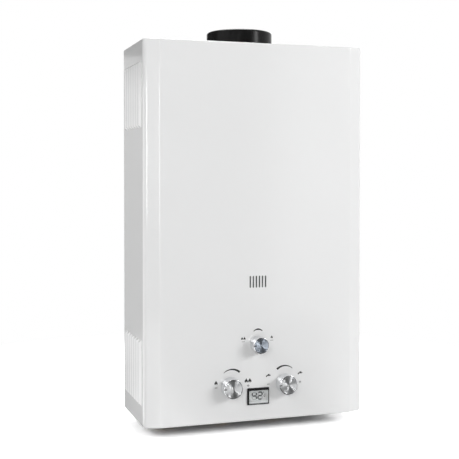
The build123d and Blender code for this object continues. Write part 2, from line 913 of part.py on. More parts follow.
def manifold_plug():
    """Screw plug that closes the open end of the manifold channel."""
    end = core_half - manifold_end_gap
    plug = rod((end - plug_length, manifold_y, manifold_mid), (end, manifold_y, manifold_mid),
               channel_radius - plug_gap)
    return plug + rod((end, manifold_y, manifold_mid), (end + plug_head_height, manifold_y, manifold_mid),
                      plug_head_radius)


def injectors():
    """Brass jets on the rear face of the manifold, aimed into the mouths of the bars."""
    nose = manifold_rear + injector_base
    jet = rod((0, manifold_rear, manifold_mid), (0, nose, manifold_mid), injector_radius)
    jet += rod((0, nose, manifold_mid), (0, nose + injector_tip, manifold_mid), injector_tip_radius)
    jet -= rod((0, manifold_front, manifold_mid), (0, core_back, manifold_mid), injector_jet)
    return Compound([(Pos(x, 0, 0) * jet).solid() for x in bar_row])


def season_valve():
    """Round valve body behind the upper knob, with a side boss for gas and two risers to the manifold."""
    body = rod((0, season_front, season_z), (0, season_rear, season_z), season_valve_radius)
    body += rod((-season_boss_reach, gas_outlet_y, season_z), (0, gas_outlet_y, season_z),
                season_boss_radius)
    for side in (-1, 1):
        x = side * riser_spread
        body += rod((x, manifold_y, season_z), (x, manifold_y, manifold_low), riser_radius)
    body -= rod((0, season_front - season_bore, season_z), (0, season_bore_rear, season_z), season_bore)
    body -= rod((-season_boss_reach - gas_port, gas_outlet_y, season_z), (0, gas_outlet_y, season_z),
                gas_port)
    for side in (-1, 1):
        x = side * riser_spread
        body -= rod((x, manifold_y, season_z), (x, manifold_y, manifold_low + riser_bore), riser_bore)
    return body


def gas_riser():
    """Bent tube from the top of the gas valve to the side of the season valve."""
    points = [(-row_x, gas_outlet_y, valve_high), (-row_x, gas_outlet_y, season_z),
              (-season_boss_reach, gas_outlet_y, season_z)]
    return pipe(FilletPolyline(*points, radius=[gas_bend]), tube_radius, tube_radius - gas_port)


def solenoid_axis():
    """Plan position of the solenoid on top of the gas valve."""
    return -row_x - solenoid_offset_x, link_y + solenoid_offset_y


def gas_valve_body():
    """Aluminium block with inlet, plunger chamber, control bore, outlet and solenoid well."""
    body = block((gas_outer, gas_inner), (valve_front, valve_rear), (valve_low, valve_high))
    body -= rod((gas_outer - seat_wall, link_y, link_z), (gas_seat, link_y, link_z), chamber_radius)
    body -= rod((gas_seat - seat_wall, link_y, link_z), (gas_inner + seat_wall, link_y, link_z), rod_hole)
    body -= inlet_cut(-row_x)
    body -= control_cut(-row_x)
    body -= rod((-row_x, gas_outlet_y, link_z), (-row_x, gas_outlet_y, valve_high + gas_port), gas_port)
    x, y = solenoid_axis()
    return body - rod((x, y, valve_high - solenoid_well), (x, y, valve_high + solenoid_well),
                      solenoid_bore)


def inlet_cut(x):
    """Socket and passage that bring gas or water up into a valve."""
    socket = rod((x, link_y, valve_low - inlet_socket), (x, link_y, valve_low + inlet_socket_depth),
                 inlet_socket)
    return socket + rod((x, link_y, valve_low), (x, link_y, link_z), inlet_passage)


def control_cut(x):
    """Bore from the front for the control spindle of a valve."""
    return rod((x, valve_front - control_bore, link_z), (x, valve_front + control_bore_depth, link_z),
               control_bore)


def gas_valve_cap():
    """Screwed end cap that closes the plunger chamber and backs the spring."""
    cap = rod((gas_outer - cap_flange, link_y, link_z), (gas_outer, link_y, link_z), cap_flange_radius)
    return cap + rod((gas_outer, link_y, link_z), (spring_wall, link_y, link_z),
                     chamber_radius - cap_spigot_gap)


def gas_plunger():
    """Valve disc with a guide stem for the spring."""
    disc = rod((plunger_back, link_y, link_z), (plunger_face, link_y, link_z), plunger_radius)
    return disc + rod((plunger_back - plunger_stem, link_y, link_z), (plunger_back, link_y, link_z),
                      plunger_stem_radius)


def plunger_spring():
    """Coil spring that shuts the gas plunger."""
    start = spring_wall + spring_end_gap + spring_wire
    length = plunger_back - spring_end_gap - spring_wire - start
    helix = Helix(pitch=length / spring_turns, height=length, radius=spring_radius,
                  center=(start, link_y, link_z), direction=(1, 0, 0))
    return sweep(Plane(origin=helix @ 0, z_dir=helix % 0) * Circle(spring_wire), path=helix,
                 is_frenet=True)


def solenoid_housing():
    """Coil can on top of the gas valve, with a blind bore for its plunger."""
    x, y = solenoid_axis()
    can = rod((x, y, valve_high), (x, y, valve_high + solenoid_height), solenoid_radius)
    can = fillet(can.edges().group_by(Axis.Z)[-1], clip_sheet)
    return can - rod((x, y, valve_high - solenoid_roof),
                     (x, y, valve_high + solenoid_height - solenoid_roof),
                     solenoid_bore)


def solenoid_plunger():
    """Steel core that the coil lifts."""
    x, y = solenoid_axis()
    low = valve_high - solenoid_well + solenoid_foot_gap
    high = valve_high + solenoid_height - solenoid_roof - solenoid_travel - solenoid_foot_gap
    return rod((x, y, low), (x, y, high), solenoid_plunger_radius)


def flange_screw_seats():
    """Places of the diaphragm screws on their circle, on the face of the valve cover."""
    seats = []
    for index in range(diaphragm_screw_count):
        angle = 2 * math.pi * index / diaphragm_screw_count
        y = link_y + diaphragm_screw_circle * math.cos(angle)
        z = link_z + diaphragm_screw_circle * math.sin(angle)
        seats.append((valve_cover_face, y, z))
    return seats


def flange_screw_holes():
    """Holes for the diaphragm screws through cover, diaphragm and flange."""
    far = water_inner + flange_thick
    return [rod((x - screw_radius, y, z), (far, y, z), screw_radius + screw_gap)
            for x, y, z in flange_screw_seats()]


def water_valve_body():
    """Brass casting: a barrel with bosses for its ports, a pad at the rear and the diaphragm flange."""
    body = rod((water_inner, link_y, link_z), (water_outer, link_y, link_z), barrel_radius)
    body += rod((row_x, link_y, valve_low), (row_x, link_y, link_z), inlet_boss)
    body += rod((row_x, valve_front, link_z), (row_x, link_y, link_z), control_boss)
    body += rod((water_outlet_x, link_y, link_z), (water_outlet_x, link_y, valve_high), outlet_boss)
    body += rod((drain_x, link_y, valve_low), (drain_x, link_y, link_z), drain_boss)
    pad_x = (row_x - control_boss, row_x - control_boss + pad_width)
    body += block(pad_x, (link_y, valve_rear), (link_z - pad_half_height, link_z + pad_half_height))
    body += rod((flange_face, link_y, link_z), (water_inner, link_y, link_z), flange_radius)
    cuts = flange_screw_holes()
    cuts.append(rod((flange_face - flange_thick, link_y, link_z),
                    (flange_face + diaphragm_recess_depth, link_y, link_z), diaphragm_recess))
    bore_end = flange_face + water_bore_length
    cuts.append(rod((flange_face, link_y, link_z), (bore_end, link_y, link_z), water_bore))
    cuts.append(rod((flange_face, link_y, link_z), (water_outer - water_gallery_end, link_y, link_z),
                    water_gallery))
    cuts.append(inlet_cut(row_x))
    cuts.append(control_cut(row_x))
    top = valve_high + outlet_socket_depth
    cuts.append(rod((water_outlet_x, link_y, link_z), (water_outlet_x, link_y, top), water_gallery))
    cuts.append(rod((water_outlet_x, link_y, valve_high - outlet_socket_depth), (water_outlet_x, link_y, top),
                    tube_radius + pipe_fit))
    cuts.append(rod((drain_x, link_y, valve_low - drain_port), (drain_x, link_y, link_z), drain_port))
    return body - cuts


def water_valve_cover():
    """Round cover over the diaphragm, with a neck for the push rod."""
    cover = rod((valve_cover_face, link_y, link_z), (diaphragm_face, link_y, link_z), flange_radius)
    cover -= rod((diaphragm_face - valve_cover_recess, link_y, link_z),
                 (diaphragm_face + valve_cover_recess, link_y, link_z), diaphragm_recess)
    cover -= rod((valve_cover_face - rod_hole, link_y, link_z), (diaphragm_face, link_y, link_z),
                 rod_hole)
    return cover - flange_screw_holes()


def diaphragm():
    """Rubber disc clamped between the flange and the valve cover."""
    disc = rod((diaphragm_face, link_y, link_z), (flange_face, link_y, link_z), diaphragm_radius)
    return disc - flange_screw_holes()


def diaphragm_screws():
    """Screws through cover and diaphragm into the flange."""
    length = water_inner - valve_cover_face - screw_radius
    return Compound([screw(seat, (1, 0, 0), length).solid() for seat in flange_screw_seats()])


def push_rod():
    """Rod with the plate at the diaphragm, the disc that works the switch and the end at the plunger."""
    body = rod((plunger_face, link_y, link_z), (rod_plate_face, link_y, link_z), rod_radius)
    body += rod((rod_plate_face - rod_plate, link_y, link_z), (rod_plate_face, link_y, link_z),
                rod_plate_radius)
    disc = valve_cover_face - collar_disc_offset
    return body + rod((disc - collar_disc, link_y, link_z), (disc, link_y, link_z), collar_disc_radius)


def lever_face():
    """Plane of the switch lever that the push rod's disc works."""
    return valve_cover_face - collar_disc_offset - collar_disc - lever_gap


def lever_pivot():
    """Axis of the switch lever, along y."""
    return lever_face() - lever_sheet / 2, link_z + switch_rise - lever_pivot_drop


def microswitch():
    """Switch on the face of the valve cover, with two lugs and the pin of its lever."""
    low = link_z + switch_rise
    depth = (link_y - switch_depth / 2, link_y + switch_depth / 2)
    x, z = lever_pivot()
    end = x - lug_length / 2
    body = block((end, valve_cover_face), depth, (low, low + switch_height))
    for side in (-1, 1):
        outer = link_y + side * switch_depth / 2
        body += block((end, x + lug_length / 2), (outer - side * lug_sheet, outer), (low - lug_drop, low))
    return body + rod((x, depth[0], z), (x, depth[1], z), lever_pin)


def microswitch_lever():
    """Thin lever hung on the pin of the switch, in the way of the push rod's disc."""
    x, z = lever_pivot()
    half = lever_width / 2
    lever = block((x - lever_sheet / 2, x + lever_sheet / 2), (link_y - half, link_y + half),
                  (z - lever_reach, z))
    lever += rod((x, link_y - half, z), (x, link_y + half, z), lever_barrel)
    return lever - rod((x, link_y - lever_width, z), (x, link_y + lever_width, z),
                       lever_pin + lever_pin_gap)


def valve_bracket():
    """Folded shelf from the back panel to the rear faces of both valves."""
    across = (gas_outer, water_outer)
    low = link_z
    high = link_z + valve_bracket_rise
    shelf = block(across, (valve_rear, panel_front), (low, low + bracket_sheet))
    shelf += block(across, (valve_rear, valve_rear + bracket_sheet), (low, high))
    shelf += block(across, (panel_front - bracket_sheet, panel_front), (low, high))
    gap = valve_bracket_gap
    flange_room = (valve_cover_face - screw_head_height - gap, water_inner + gap)
    return shelf - block(flange_room, (valve_front, link_y + flange_radius + gap),
                         (valve_low, valve_high))


def fitting(x, top):
    """Threaded stub through the bottom plate with a hexagon on it and a tail up to the given level."""
    thread_top = floor_z - thread_gap
    body = rod((x, link_y, thread_top - thread_length), (x, link_y, thread_top), thread_radius)
    body += rod((x, link_y, thread_top), (x, link_y, plate_top), undercut_radius)
    hexagon = RegularPolygon(radius=hex_across / 2, side_count=6, major_radius=False)
    body += extrude(Pos(x, link_y, plate_top) * hexagon, hex_height)
    return body + rod((x, link_y, plate_top), (x, link_y, top), tail_radius)


def fitting_way(x, top):
    """Bore through a fitting."""
    low = floor_z - thread_gap - 2 * thread_length
    return rod((x, link_y, low), (x, link_y, top), fitting_bore)


def valve_inlet(x):
    """Inlet connection with a spigot in the socket of its valve."""
    tip = valve_low + spigot_length
    body = fitting(x, valve_low)
    body += rod((x, link_y, valve_low), (x, link_y, tip), inlet_socket - spigot_gap)
    return body - fitting_way(x, tip + spigot_length)


def hot_outlet():
    """Outlet connection with a socket for the hot pipe."""
    top = plate_top + hot_tail_height
    body = fitting(-hot_x, top) - fitting_way(-hot_x, top)
    return body - rod((-hot_x, link_y, top - pipe_socket), (-hot_x, link_y, top + pipe_socket),
                      tube_radius + pipe_fit)


def inlet_filter():
    """Thimble strainer in the bore of the cold inlet."""
    low = floor_z - thread_gap - thread_length + filter_set_in
    radius = fitting_bore - filter_gap
    cup = rod((row_x, link_y, low), (row_x, link_y, low + filter_length), radius)
    return cup - rod((row_x, link_y, low - filter_sheet),
                     (row_x, link_y, low + filter_length - filter_sheet),
                     radius - filter_sheet)


def drain_valve():
    """Drain body under the water valve, ending below the bottom plate."""
    low = floor_z - drain_drop
    body = rod((drain_x, link_y, low), (drain_x, link_y, valve_low), drain_radius)
    body += rod((drain_x, link_y, valve_low), (drain_x, link_y, valve_low + drain_spigot_length),
                drain_port - spigot_gap)
    return body - rod((drain_x, link_y, low - drain_drop), (drain_x, link_y, valve_high), drain_bore)


def drain_knob():
    """Turned knob with a stem in the drain body and finger grooves around it."""
    top = floor_z - drain_drop - drain_knob_gap
    knob = rod((drain_x, link_y, top - drain_knob_height), (drain_x, link_y, top), drain_knob_radius)
    for index in range(drain_grip_count):
        angle = 2 * math.pi * index / drain_grip_count
        x = drain_x + drain_knob_radius * math.cos(angle)
        y = link_y + drain_knob_radius * math.sin(angle)
        knob -= rod((x, y, top - 2 * drain_knob_height), (x, y, top + drain_knob_height),
                    drain_grip_radius)
    return knob + rod((drain_x, link_y, top), (drain_x, link_y, floor_z + drain_stem_rise),
                      drain_stem_radius)


def cold_pipe():
    """Copper pipe from the water valve round the side to the first run of the exchanger."""
    run_z = tray_low - cold_run_drop
    points = [(water_outlet_x, link_y, valve_high - outlet_socket_depth), (water_outlet_x, link_y, run_z),
              (pipe_x, pass_y[0], run_z), (pipe_x, pass_y[0], tube_z),
              (core_half + entry_stub, pass_y[0], tube_z)]
    return pipe(FilletPolyline(*points, radius=[pipe_bend] * 3), tube_radius, tube_wall)


def hot_pipe():
    """Copper pipe from the end of the firebox coil down and inward to the hot outlet."""
    jog = floor_z + hot_jog_rise
    points = [(-pipe_x, link_y, coil_exit_z() - coil_tail), (-pipe_x, link_y, jog),
              (-hot_x, link_y, jog - hot_jog_drop),
              (-hot_x, link_y, plate_top + hot_tail_height - pipe_socket)]
    return pipe(FilletPolyline(*points, radius=[pipe_bend] * 2), tube_radius, tube_wall)


def overheat_thermostat():
    """Disc thermostat with the clip that holds it on the hot pipe."""
    z = floor_z + thermostat_rise
    low = z - clip_height / 2
    bore = tube_radius + pipe_fit
    clip = rod((-pipe_x, link_y, low), (-pipe_x, link_y, low + clip_height), bore + clip_sheet)
    clip += rod((-pipe_x, link_y, z), (-pipe_x + bore + clip_sheet + thermostat_length, link_y, z),
                thermostat_radius)
    return clip - rod((-pipe_x, link_y, low - clip_height), (-pipe_x, link_y, low + 2 * clip_height),
                      bore)


def igniter_box():
    """Potted igniter module on the back panel."""
    left = igniter_side_gap - inner_half
    high = tray_low - igniter_tray_gap
    body = block((left, left + igniter_width), (panel_front - igniter_depth, panel_front),
                 (high - igniter_height, high))
    front = [e for e in body.edges() if e.center().Y < panel_front - igniter_depth + igniter_round / 2]
    return fillet(front, igniter_round)


def electrode_insulators():
    """Ceramic bushes through the front of the firebox, each with a collar against the wall."""
    z = tray_top + electrode_rise
    bushes = []
    for x in (-electrode_offset, electrode_offset):
        bush = rod((x, core_front - insulator_outer, z), (x, core_front + insulator_inner, z),
                   insulator_radius)
        bush += rod((x, core_front - insulator_collar, z), (x, core_front, z), insulator_collar_radius)
        bush -= rod((x, front_y, z), (x, core_back, z), electrode_radius + insulator_bore_gap)
        bushes.append(bush.solid())
    return Compound(bushes)


def electrode_pins():
    """Spark and flame-sensing pins through the ceramic bushes."""
    z = tray_top + electrode_rise
    ends = (core_front - electrode_outer, core_front + electrode_inner)
    return Compound([rod((x, ends[0], z), (x, ends[1], z), electrode_radius).solid()
                     for x in (-electrode_offset, electrode_offset)])


def battery_box():
    """Upright box for two cells on the bottom plate, with the ears of the door hinge under its flange."""
    x = (battery_x - box_half, battery_x + box_half)
    y = (battery_y - box_half, battery_y + box_half)
    box = block(x, y, (plate_top, box_roof + box_wall))
    rear = hinge_y + hinge_ear_radius + box_flange
    box += block((x[0] - box_flange, x[1] + box_flange), (y[0] - box_flange, rear),
                 (plate_top, plate_top + box_flange_sheet))
    box -= block((battery_x - cell_half, battery_x + cell_half),
                 (battery_y - cell_half, battery_y + cell_half),
                 (plate_top - box_wall, box_roof))
    half = hinge_ear_width / 2
    for side in (-1, 1):
        ear_x = battery_x + side * hinge_ear_offset
        ear = (ear_x - half, ear_x + half)
        box += block(ear, (hinge_y - hinge_ear_radius, hinge_y + hinge_ear_radius), (hinge_z, plate_top))
        box += rod((ear[0], hinge_y, hinge_z), (ear[1], hinge_y, hinge_z), hinge_ear_radius)
    reach = hinge_ear_offset + hinge_ear_width
    return box - rod((battery_x - reach, hinge_y, hinge_z), (battery_x + reach, hinge_y, hinge_z),
                     hinge_pin_radius + hinge_pin_gap)


def battery_door():
    """Flap under the battery box with its knuckle and pins at the rear and a finger tab at the front."""
    front = battery_y - cell_half - door_overlap
    half = cell_half + door_overlap
    door = block((battery_x - half, battery_x + half), (front, hinge_y - hinge_edge),
                 (door_low, door_top))
    tab = finger_tab_width / 2
    door += block((battery_x - tab, battery_x + tab), (front - finger_tab_reach, front),
                  (door_low, door_low + door_sheet / 2))
    inner = hinge_ear_offset - hinge_ear_width / 2 - knuckle_gap
    door += block((battery_x - inner, battery_x + inner), (hinge_y - hinge_edge, hinge_y),
                  (door_low, door_top))
    door += rod((battery_x - inner, hinge_y, hinge_z), (battery_x + inner, hinge_y, hinge_z),
                knuckle_radius)
    reach = hinge_ear_offset + hinge_ear_width / 2
    return door + rod((battery_x - reach, hinge_y, hinge_z), (battery_x + reach, hinge_y, hinge_z),
                      hinge_pin_radius)


def battery_cells():
    """Round cells, one on top of the other."""
    cells = []
    for index in range(cell_count):
        low = cells_low + index * cell_length
        shoulder = low + cell_length - nub_height
        cell = rod((battery_x, battery_y, low), (battery_x, battery_y, shoulder), cell_radius)
        cell += rod((battery_x, battery_y, shoulder), (battery_x, battery_y, low + cell_length),
                    nub_radius)
        cells.append(cell.solid())
    return Compound(cells)


def knob_frame(x, z):
    """Plane at the foot of a knob, with its local z pointing out of the front."""
    return Plane(origin=(x, front_y - knob_gap, z), x_dir=(1, 0, 0), z_dir=(0, -1, 0))


def spindle_profile(gap, length):
    """Round spindle with a flat, as a solid from the foot of the knob outwards."""
    shaft = Cylinder(spindle_radius + gap, length, align=MIDDLE)
    depth = 2 * spindle_radius
    flat = Pos(0, spindle_radius - spindle_flat + gap, 0) * Box(
        2 * depth, depth, length, align=(Align.CENTER, Align.MIN, Align.MIN))
    return shaft - flat


def pointer_slot(radius):
    """Notch of the pointer at the left edge of a knob's face."""
    return Pos(pointer_length / 2 - radius - knob_skirt, 0, knob_rise) * Box(
        pointer_length, pointer_width, 2 * (face_recess + face_sheet))


def knob(x, z, radius):
    """Metal knob: slightly tapered skirt, hub with a flatted bore, recess for the face."""
    body = Cone(radius + knob_skirt, radius, knob_rise, align=MIDDLE)
    body = fillet(body.edges().group_by(Axis.Z)[-1], knob_edge_round)
    depth = knob_rise - knob_cap
    body -= Cylinder(radius - knob_wall, depth, align=MIDDLE)
    body += Cylinder(knob_hub_radius, depth, align=MIDDLE)
    body -= spindle_profile(spindle_gap, depth)
    body -= Pos(0, 0, knob_rise - face_recess) * Cylinder(radius - knob_rim, knob_cap, align=MIDDLE)
    return knob_frame(x, z) * (body - pointer_slot(radius))


def knob_face(x, z, radius):
    """Spun disc let into the front of a knob."""
    disc = Pos(0, 0, knob_rise - face_recess) * Cylinder(radius - knob_rim - face_gap, face_sheet,
                                                         align=MIDDLE)
    return knob_frame(x, z) * (disc - pointer_slot(radius))


def spindle(x, z, plug_radius, plug_front, plug_rear):
    """Spindle of a knob with the valve plug at its inner end."""
    length = knob_rise - knob_cap - spindle_end_gap
    flatted = knob_frame(x, z) * spindle_profile(0, length)
    stem = rod((x, plug_front, z), (x, front_y - knob_gap, z), spindle_radius)
    return flatted + stem + rod((x, plug_rear, z), (x, plug_front, z), plug_radius)


def row_spindle(x):
    """Spindle of a lower knob, reaching into its valve's control bore."""
    rear = valve_front + control_bore_depth - plug_end_gap
    return spindle(x, row_z, control_bore - valve_plug_gap, valve_front + plug_set_back, rear)


def season_spindle():
    """Spindle of the upper knob with the long plug of the season valve."""
    return spindle(0, season_z, season_bore - valve_plug_gap, season_front + plug_set_back,
                   season_bore_rear - plug_end_gap)


def display_stack(margin, front, rear):
    """Plate behind the display window, larger than it by the margin."""
    half_x = window_width / 2 + margin
    half_z = window_tall / 2 + margin
    middle = display_z + window_shift_z
    return block((window_shift_x - half_x, window_shift_x + half_x), (front, rear),
                 (middle - half_z, middle + half_z))


def display_bezel():
    """Plastic frame of the display, with a flange on the front and a body through the cover."""
    half_x = display_width / 2
    half_z = display_tall / 2
    margin = display_body_margin
    rear = front_y + display_body_depth
    frame = block((-half_x, half_x), (front_y - display_proud, front_y),
                  (display_z - half_z, display_z + half_z))
    frame = fillet(frame.edges().filter_by(Axis.Y), display_proud)
    frame += block((margin - half_x, half_x - margin), (front_y, rear),
                   (display_z - half_z + margin, display_z + half_z - margin))
    frame -= display_stack(0, front_y - 2 * display_proud, rear)
    seat = front_y - display_proud + window_lip
    return frame - display_stack(module_margin + module_gap, seat, rear + display_proud)


def display_lens():
    """Clear plate behind the lip of the bezel."""
    seat = front_y - display_proud + window_lip
    return display_stack(module_margin, seat, seat + lens_sheet)


def display_panel():
    """Liquid-crystal panel with its circuit board, behind the lens."""
    front = front_y - display_proud + window_lip + lens_sheet
    return display_stack(module_margin, front, front_y + display_body_depth)


pieces = {
    "front_cover": front_cover(),
    "back_panel": back_panel(),
    "bottom_plate": bottom_plate(),
    "cover_screws": cover_screws(),
    "flue_collar": flue_collar(),
    "collar_gasket": collar_gasket(),
    "draft_hood": draft_hood(),
    "exchanger_casing": exchanger_casing(),
    "exchanger_fins": exchanger_fins(),
    "exchanger_tube": exchanger_tube(),
    "exchanger_brackets": exchanger_brackets(),
    "firebox": firebox(),
    "burner_tray": burner_tray(),
    "burner_bars": burner_bars(),
    "gas_manifold": gas_manifold(),
    "manifold_plug": manifold_plug(),
    "injectors": injectors(),
    "season_valve": season_valve(),
    "gas_riser": gas_riser(),
    "gas_valve_body": gas_valve_body(),
    "gas_valve_cap": gas_valve_cap(),
    "gas_plunger": gas_plunger(),
    "plunger_spring": plunger_spring(),
    "solenoid_housing": solenoid_housing(),
    "solenoid_plunger": solenoid_plunger(),
    "water_valve_body": water_valve_body(),
    "water_valve_cover": water_valve_cover(),
    "diaphragm": diaphragm(),
    "diaphragm_screws": diaphragm_screws(),
    "push_rod": push_rod(),
    "microswitch": microswitch(),
    "microswitch_lever": microswitch_lever(),
    "valve_bracket": valve_bracket(),
    "cold_inlet": valve_inlet(row_x),
    "gas_inlet": valve_inlet(-row_x),
    "hot_outlet": hot_outlet(),
    "inlet_filter": inlet_filter(),
    "drain_valve": drain_valve(),
    "drain_knob": drain_knob(),
    "cold_pipe": cold_pipe(),
    "hot_pipe": hot_pipe(),
    "overheat_thermostat": overheat_thermostat(),
    "igniter_box": igniter_box(),
    "electrode_insulators": electrode_insulators(),
    "electrode_pins": electrode_pins(),
    "battery_box": battery_box(),
    "battery_door": battery_door(),
    "battery_cells": battery_cells(),
    "season_knob": knob(0, season_z, season_knob_radius),
    "season_knob_face": knob_face(0, season_z, season_knob_radius),
    "season_spindle": season_spindle(),
    "gas_knob": knob(-row_x, row_z, row_knob_radius),
    "gas_knob_face": knob_face(-row_x, row_z, row_knob_radius),
    "gas_spindle": row_spindle(-row_x),
    "water_knob": knob(row_x, row_z, row_knob_radius),
    "water_knob_face": knob_face(row_x, row_z, row_knob_radius),
    "water_spindle": row_spindle(row_x),
    "display_bezel": display_bezel(),
    "display_lens": display_lens(),
    "display_panel": display_panel(),
}

os.makedirs("parts", exist_ok=True)
for name, shape in pieces.items():
    export_step(shape, f"parts/{name}.step")
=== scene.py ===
import bmesh
import bpy
import math
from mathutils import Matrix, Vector


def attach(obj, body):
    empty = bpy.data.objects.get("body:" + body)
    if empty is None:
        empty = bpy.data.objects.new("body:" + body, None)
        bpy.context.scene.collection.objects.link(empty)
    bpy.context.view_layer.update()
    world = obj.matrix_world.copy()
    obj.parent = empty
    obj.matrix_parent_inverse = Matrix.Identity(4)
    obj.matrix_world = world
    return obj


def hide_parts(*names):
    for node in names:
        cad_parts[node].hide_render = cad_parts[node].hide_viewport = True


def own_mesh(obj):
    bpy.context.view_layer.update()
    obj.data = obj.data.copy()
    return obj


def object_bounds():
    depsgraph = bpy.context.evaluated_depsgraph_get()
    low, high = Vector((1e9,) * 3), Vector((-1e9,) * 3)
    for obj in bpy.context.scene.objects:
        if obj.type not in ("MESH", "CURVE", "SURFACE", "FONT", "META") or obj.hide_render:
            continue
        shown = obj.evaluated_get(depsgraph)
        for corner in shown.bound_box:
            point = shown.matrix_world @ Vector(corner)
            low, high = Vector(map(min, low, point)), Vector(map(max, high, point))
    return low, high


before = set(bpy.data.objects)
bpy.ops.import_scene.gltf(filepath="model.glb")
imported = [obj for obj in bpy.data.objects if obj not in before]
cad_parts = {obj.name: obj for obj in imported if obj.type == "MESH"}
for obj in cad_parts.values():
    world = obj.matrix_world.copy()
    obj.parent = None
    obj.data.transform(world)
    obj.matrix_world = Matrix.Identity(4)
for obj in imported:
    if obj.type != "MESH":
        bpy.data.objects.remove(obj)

cad_box = [list(corner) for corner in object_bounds()]
scene = bpy.context.scene
scene.view_settings.view_transform = "Standard"

# Camera of the catalogue picture: a short telephoto lens to the left of the heater and a little above
# its middle, tipped down by about a degree.
lens_length = 72.584
sensor_width = 36.0
frame_shift = -0.07
camera_place = (-0.5871, -1.7887, 0.0987)
camera_tip = 1.135
camera_turn = 18.259

picture_view = bpy.data.cameras.new("picture_view")
picture_view.sensor_width = sensor_width
picture_view.lens = lens_length
picture_view.shift_y = frame_shift
camera = bpy.data.objects.new("picture_view", picture_view)
camera.location = camera_place
camera.rotation_euler = (math.radians(90 - camera_tip), 0, math.radians(-camera_turn))
scene.collection.objects.link(camera)
scene.camera = camera

# White room: bare paper all round, dim as a source of light, plain white where it is looked at, mirrored
# or seen through a lens.
room_light = 0.20
room_white = 1.0
white_colour = (1, 1, 1, 1)


def reckoned(tree, operation, first, second):
    """Socket of a sum of the named kind, on a socket and either another socket or a number."""
    step = tree.nodes.new("ShaderNodeMath")
    step.operation = operation
    tree.links.new(first, step.inputs[0])
    if isinstance(second, float):
        step.inputs[1].default_value = second
    else:
        tree.links.new(second, step.inputs[1])
    return step.outputs[0]


def kind_of_ray(tree, *kinds):
    """Socket that is 1 for rays of the named kinds, and 0 for others."""
    path = tree.nodes.new("ShaderNodeLightPath")
    highest = path.outputs[kinds[0]]
    for kind in kinds[1:]:
        highest = reckoned(tree, "MAXIMUM", highest, path.outputs[kind])
    return highest


def either(tree, share, plain_shader, other_shader):
    """Output of the plain shader where the share is 0, and of the other where it is 1."""
    mixed = tree.nodes.new("ShaderNodeMixShader")
    tree.links.new(share, mixed.inputs["Fac"])
    tree.links.new(plain_shader, mixed.inputs[1])
    tree.links.new(other_shader, mixed.inputs[2])
    return mixed.outputs[0]


world = bpy.data.worlds.new("white_room")
world.use_nodes = True
scene.world = world
room = world.node_tree
dim_paper = room.nodes["Background"]
white_paper = room.nodes.new("ShaderNodeBackground")
for paper, strength in ((dim_paper, room_light), (white_paper, room_white)):
    paper.inputs["Color"].default_value = white_colour
    paper.inputs["Strength"].default_value = strength
looked_at = kind_of_ray(room, "Is Camera Ray", "Is Glossy Ray", "Is Transmission Ray")
room.links.new(either(room, looked_at, dim_paper.outputs[0], white_paper.outputs[0]),
               room.nodes["World Output"].inputs["Surface"])

# Floor: the same paper laid flat just under the lowest ear of the heater. Looked at, it is brighter than
# white, so that only the shadow under the heater shows on it.
floor_gap = 0.0015
floor_reach = 12.0
floor_albedo = 0.85
floor_seen = 2.5
shade_near = 0.45
shade_far = 1.0
floor_level = cad_box[0][2] - floor_gap


def matt(tree, grey):
    """Output of a matt grey shader."""
    shader = tree.nodes.new("ShaderNodeBsdfDiffuse")
    shader.inputs["Color"].default_value = (grey, grey, grey, 1)
    return shader.outputs[0]


def vector_step(tree, operation, vector, other=None):
    """Outputs of a sum of the named kind on a vector socket, with a fixed vector if it takes one."""
    step = tree.nodes.new("ShaderNodeVectorMath")
    step.operation = operation
    tree.links.new(vector, step.inputs[0])
    if other:
        step.inputs[1].default_value = other
    return step.outputs


def eased(tree, amount, start, full):
    """Socket that eases from 0 where the amount is at the start to 1 where it is full."""
    ease = tree.nodes.new("ShaderNodeMapRange")
    ease.interpolation_type = "SMOOTHSTEP"
    ease.inputs["From Min"].default_value = start
    ease.inputs["From Max"].default_value = full
    tree.links.new(amount, ease.inputs["Value"])
    return ease.outputs["Result"]


sheet = bmesh.new()
bmesh.ops.create_grid(sheet, x_segments=1, y_segments=1, size=floor_reach)
floor_mesh = bpy.data.meshes.new("floor")
sheet.to_mesh(floor_mesh)
sheet.free()
floor = bpy.data.objects.new("floor", floor_mesh)
floor.location = (0, 0, floor_level)
scene.collection.objects.link(floor)

floor_paper = bpy.data.materials.new("floor_paper")
floor_paper.use_nodes = True
tree = floor_paper.node_tree
tree.nodes.remove(tree.nodes["Principled BSDF"])
place = tree.nodes.new("ShaderNodeTexCoord")
away = vector_step(tree, "LENGTH", place.outputs["Object"])["Value"]
bare = eased(tree, away, shade_near, shade_far)
white = tree.nodes.new("ShaderNodeEmission")
lamp_lit = matt(tree, floor_albedo)
mirrored = either(tree, bare, lamp_lit, white.outputs[0])
seen = either(tree, bare, matt(tree, floor_seen), white.outputs[0])
off_metal = kind_of_ray(tree, "Is Glossy Ray", "Is Transmission Ray")
by_light = either(tree, off_metal, lamp_lit, mirrored)
by_eye = either(tree, kind_of_ray(tree, "Is Camera Ray"), by_light, seen)
tree.links.new(by_eye, tree.nodes["Material Output"].inputs["Surface"])
floor_mesh.materials.append(floor_paper)

# Lamps: large soft boxes in front of the heater, on its left and behind it. Metal and gloss don't mirror
# them, so that they leave no square glare on the paint.
lamp_aim = Vector((0, -0.1, 0))


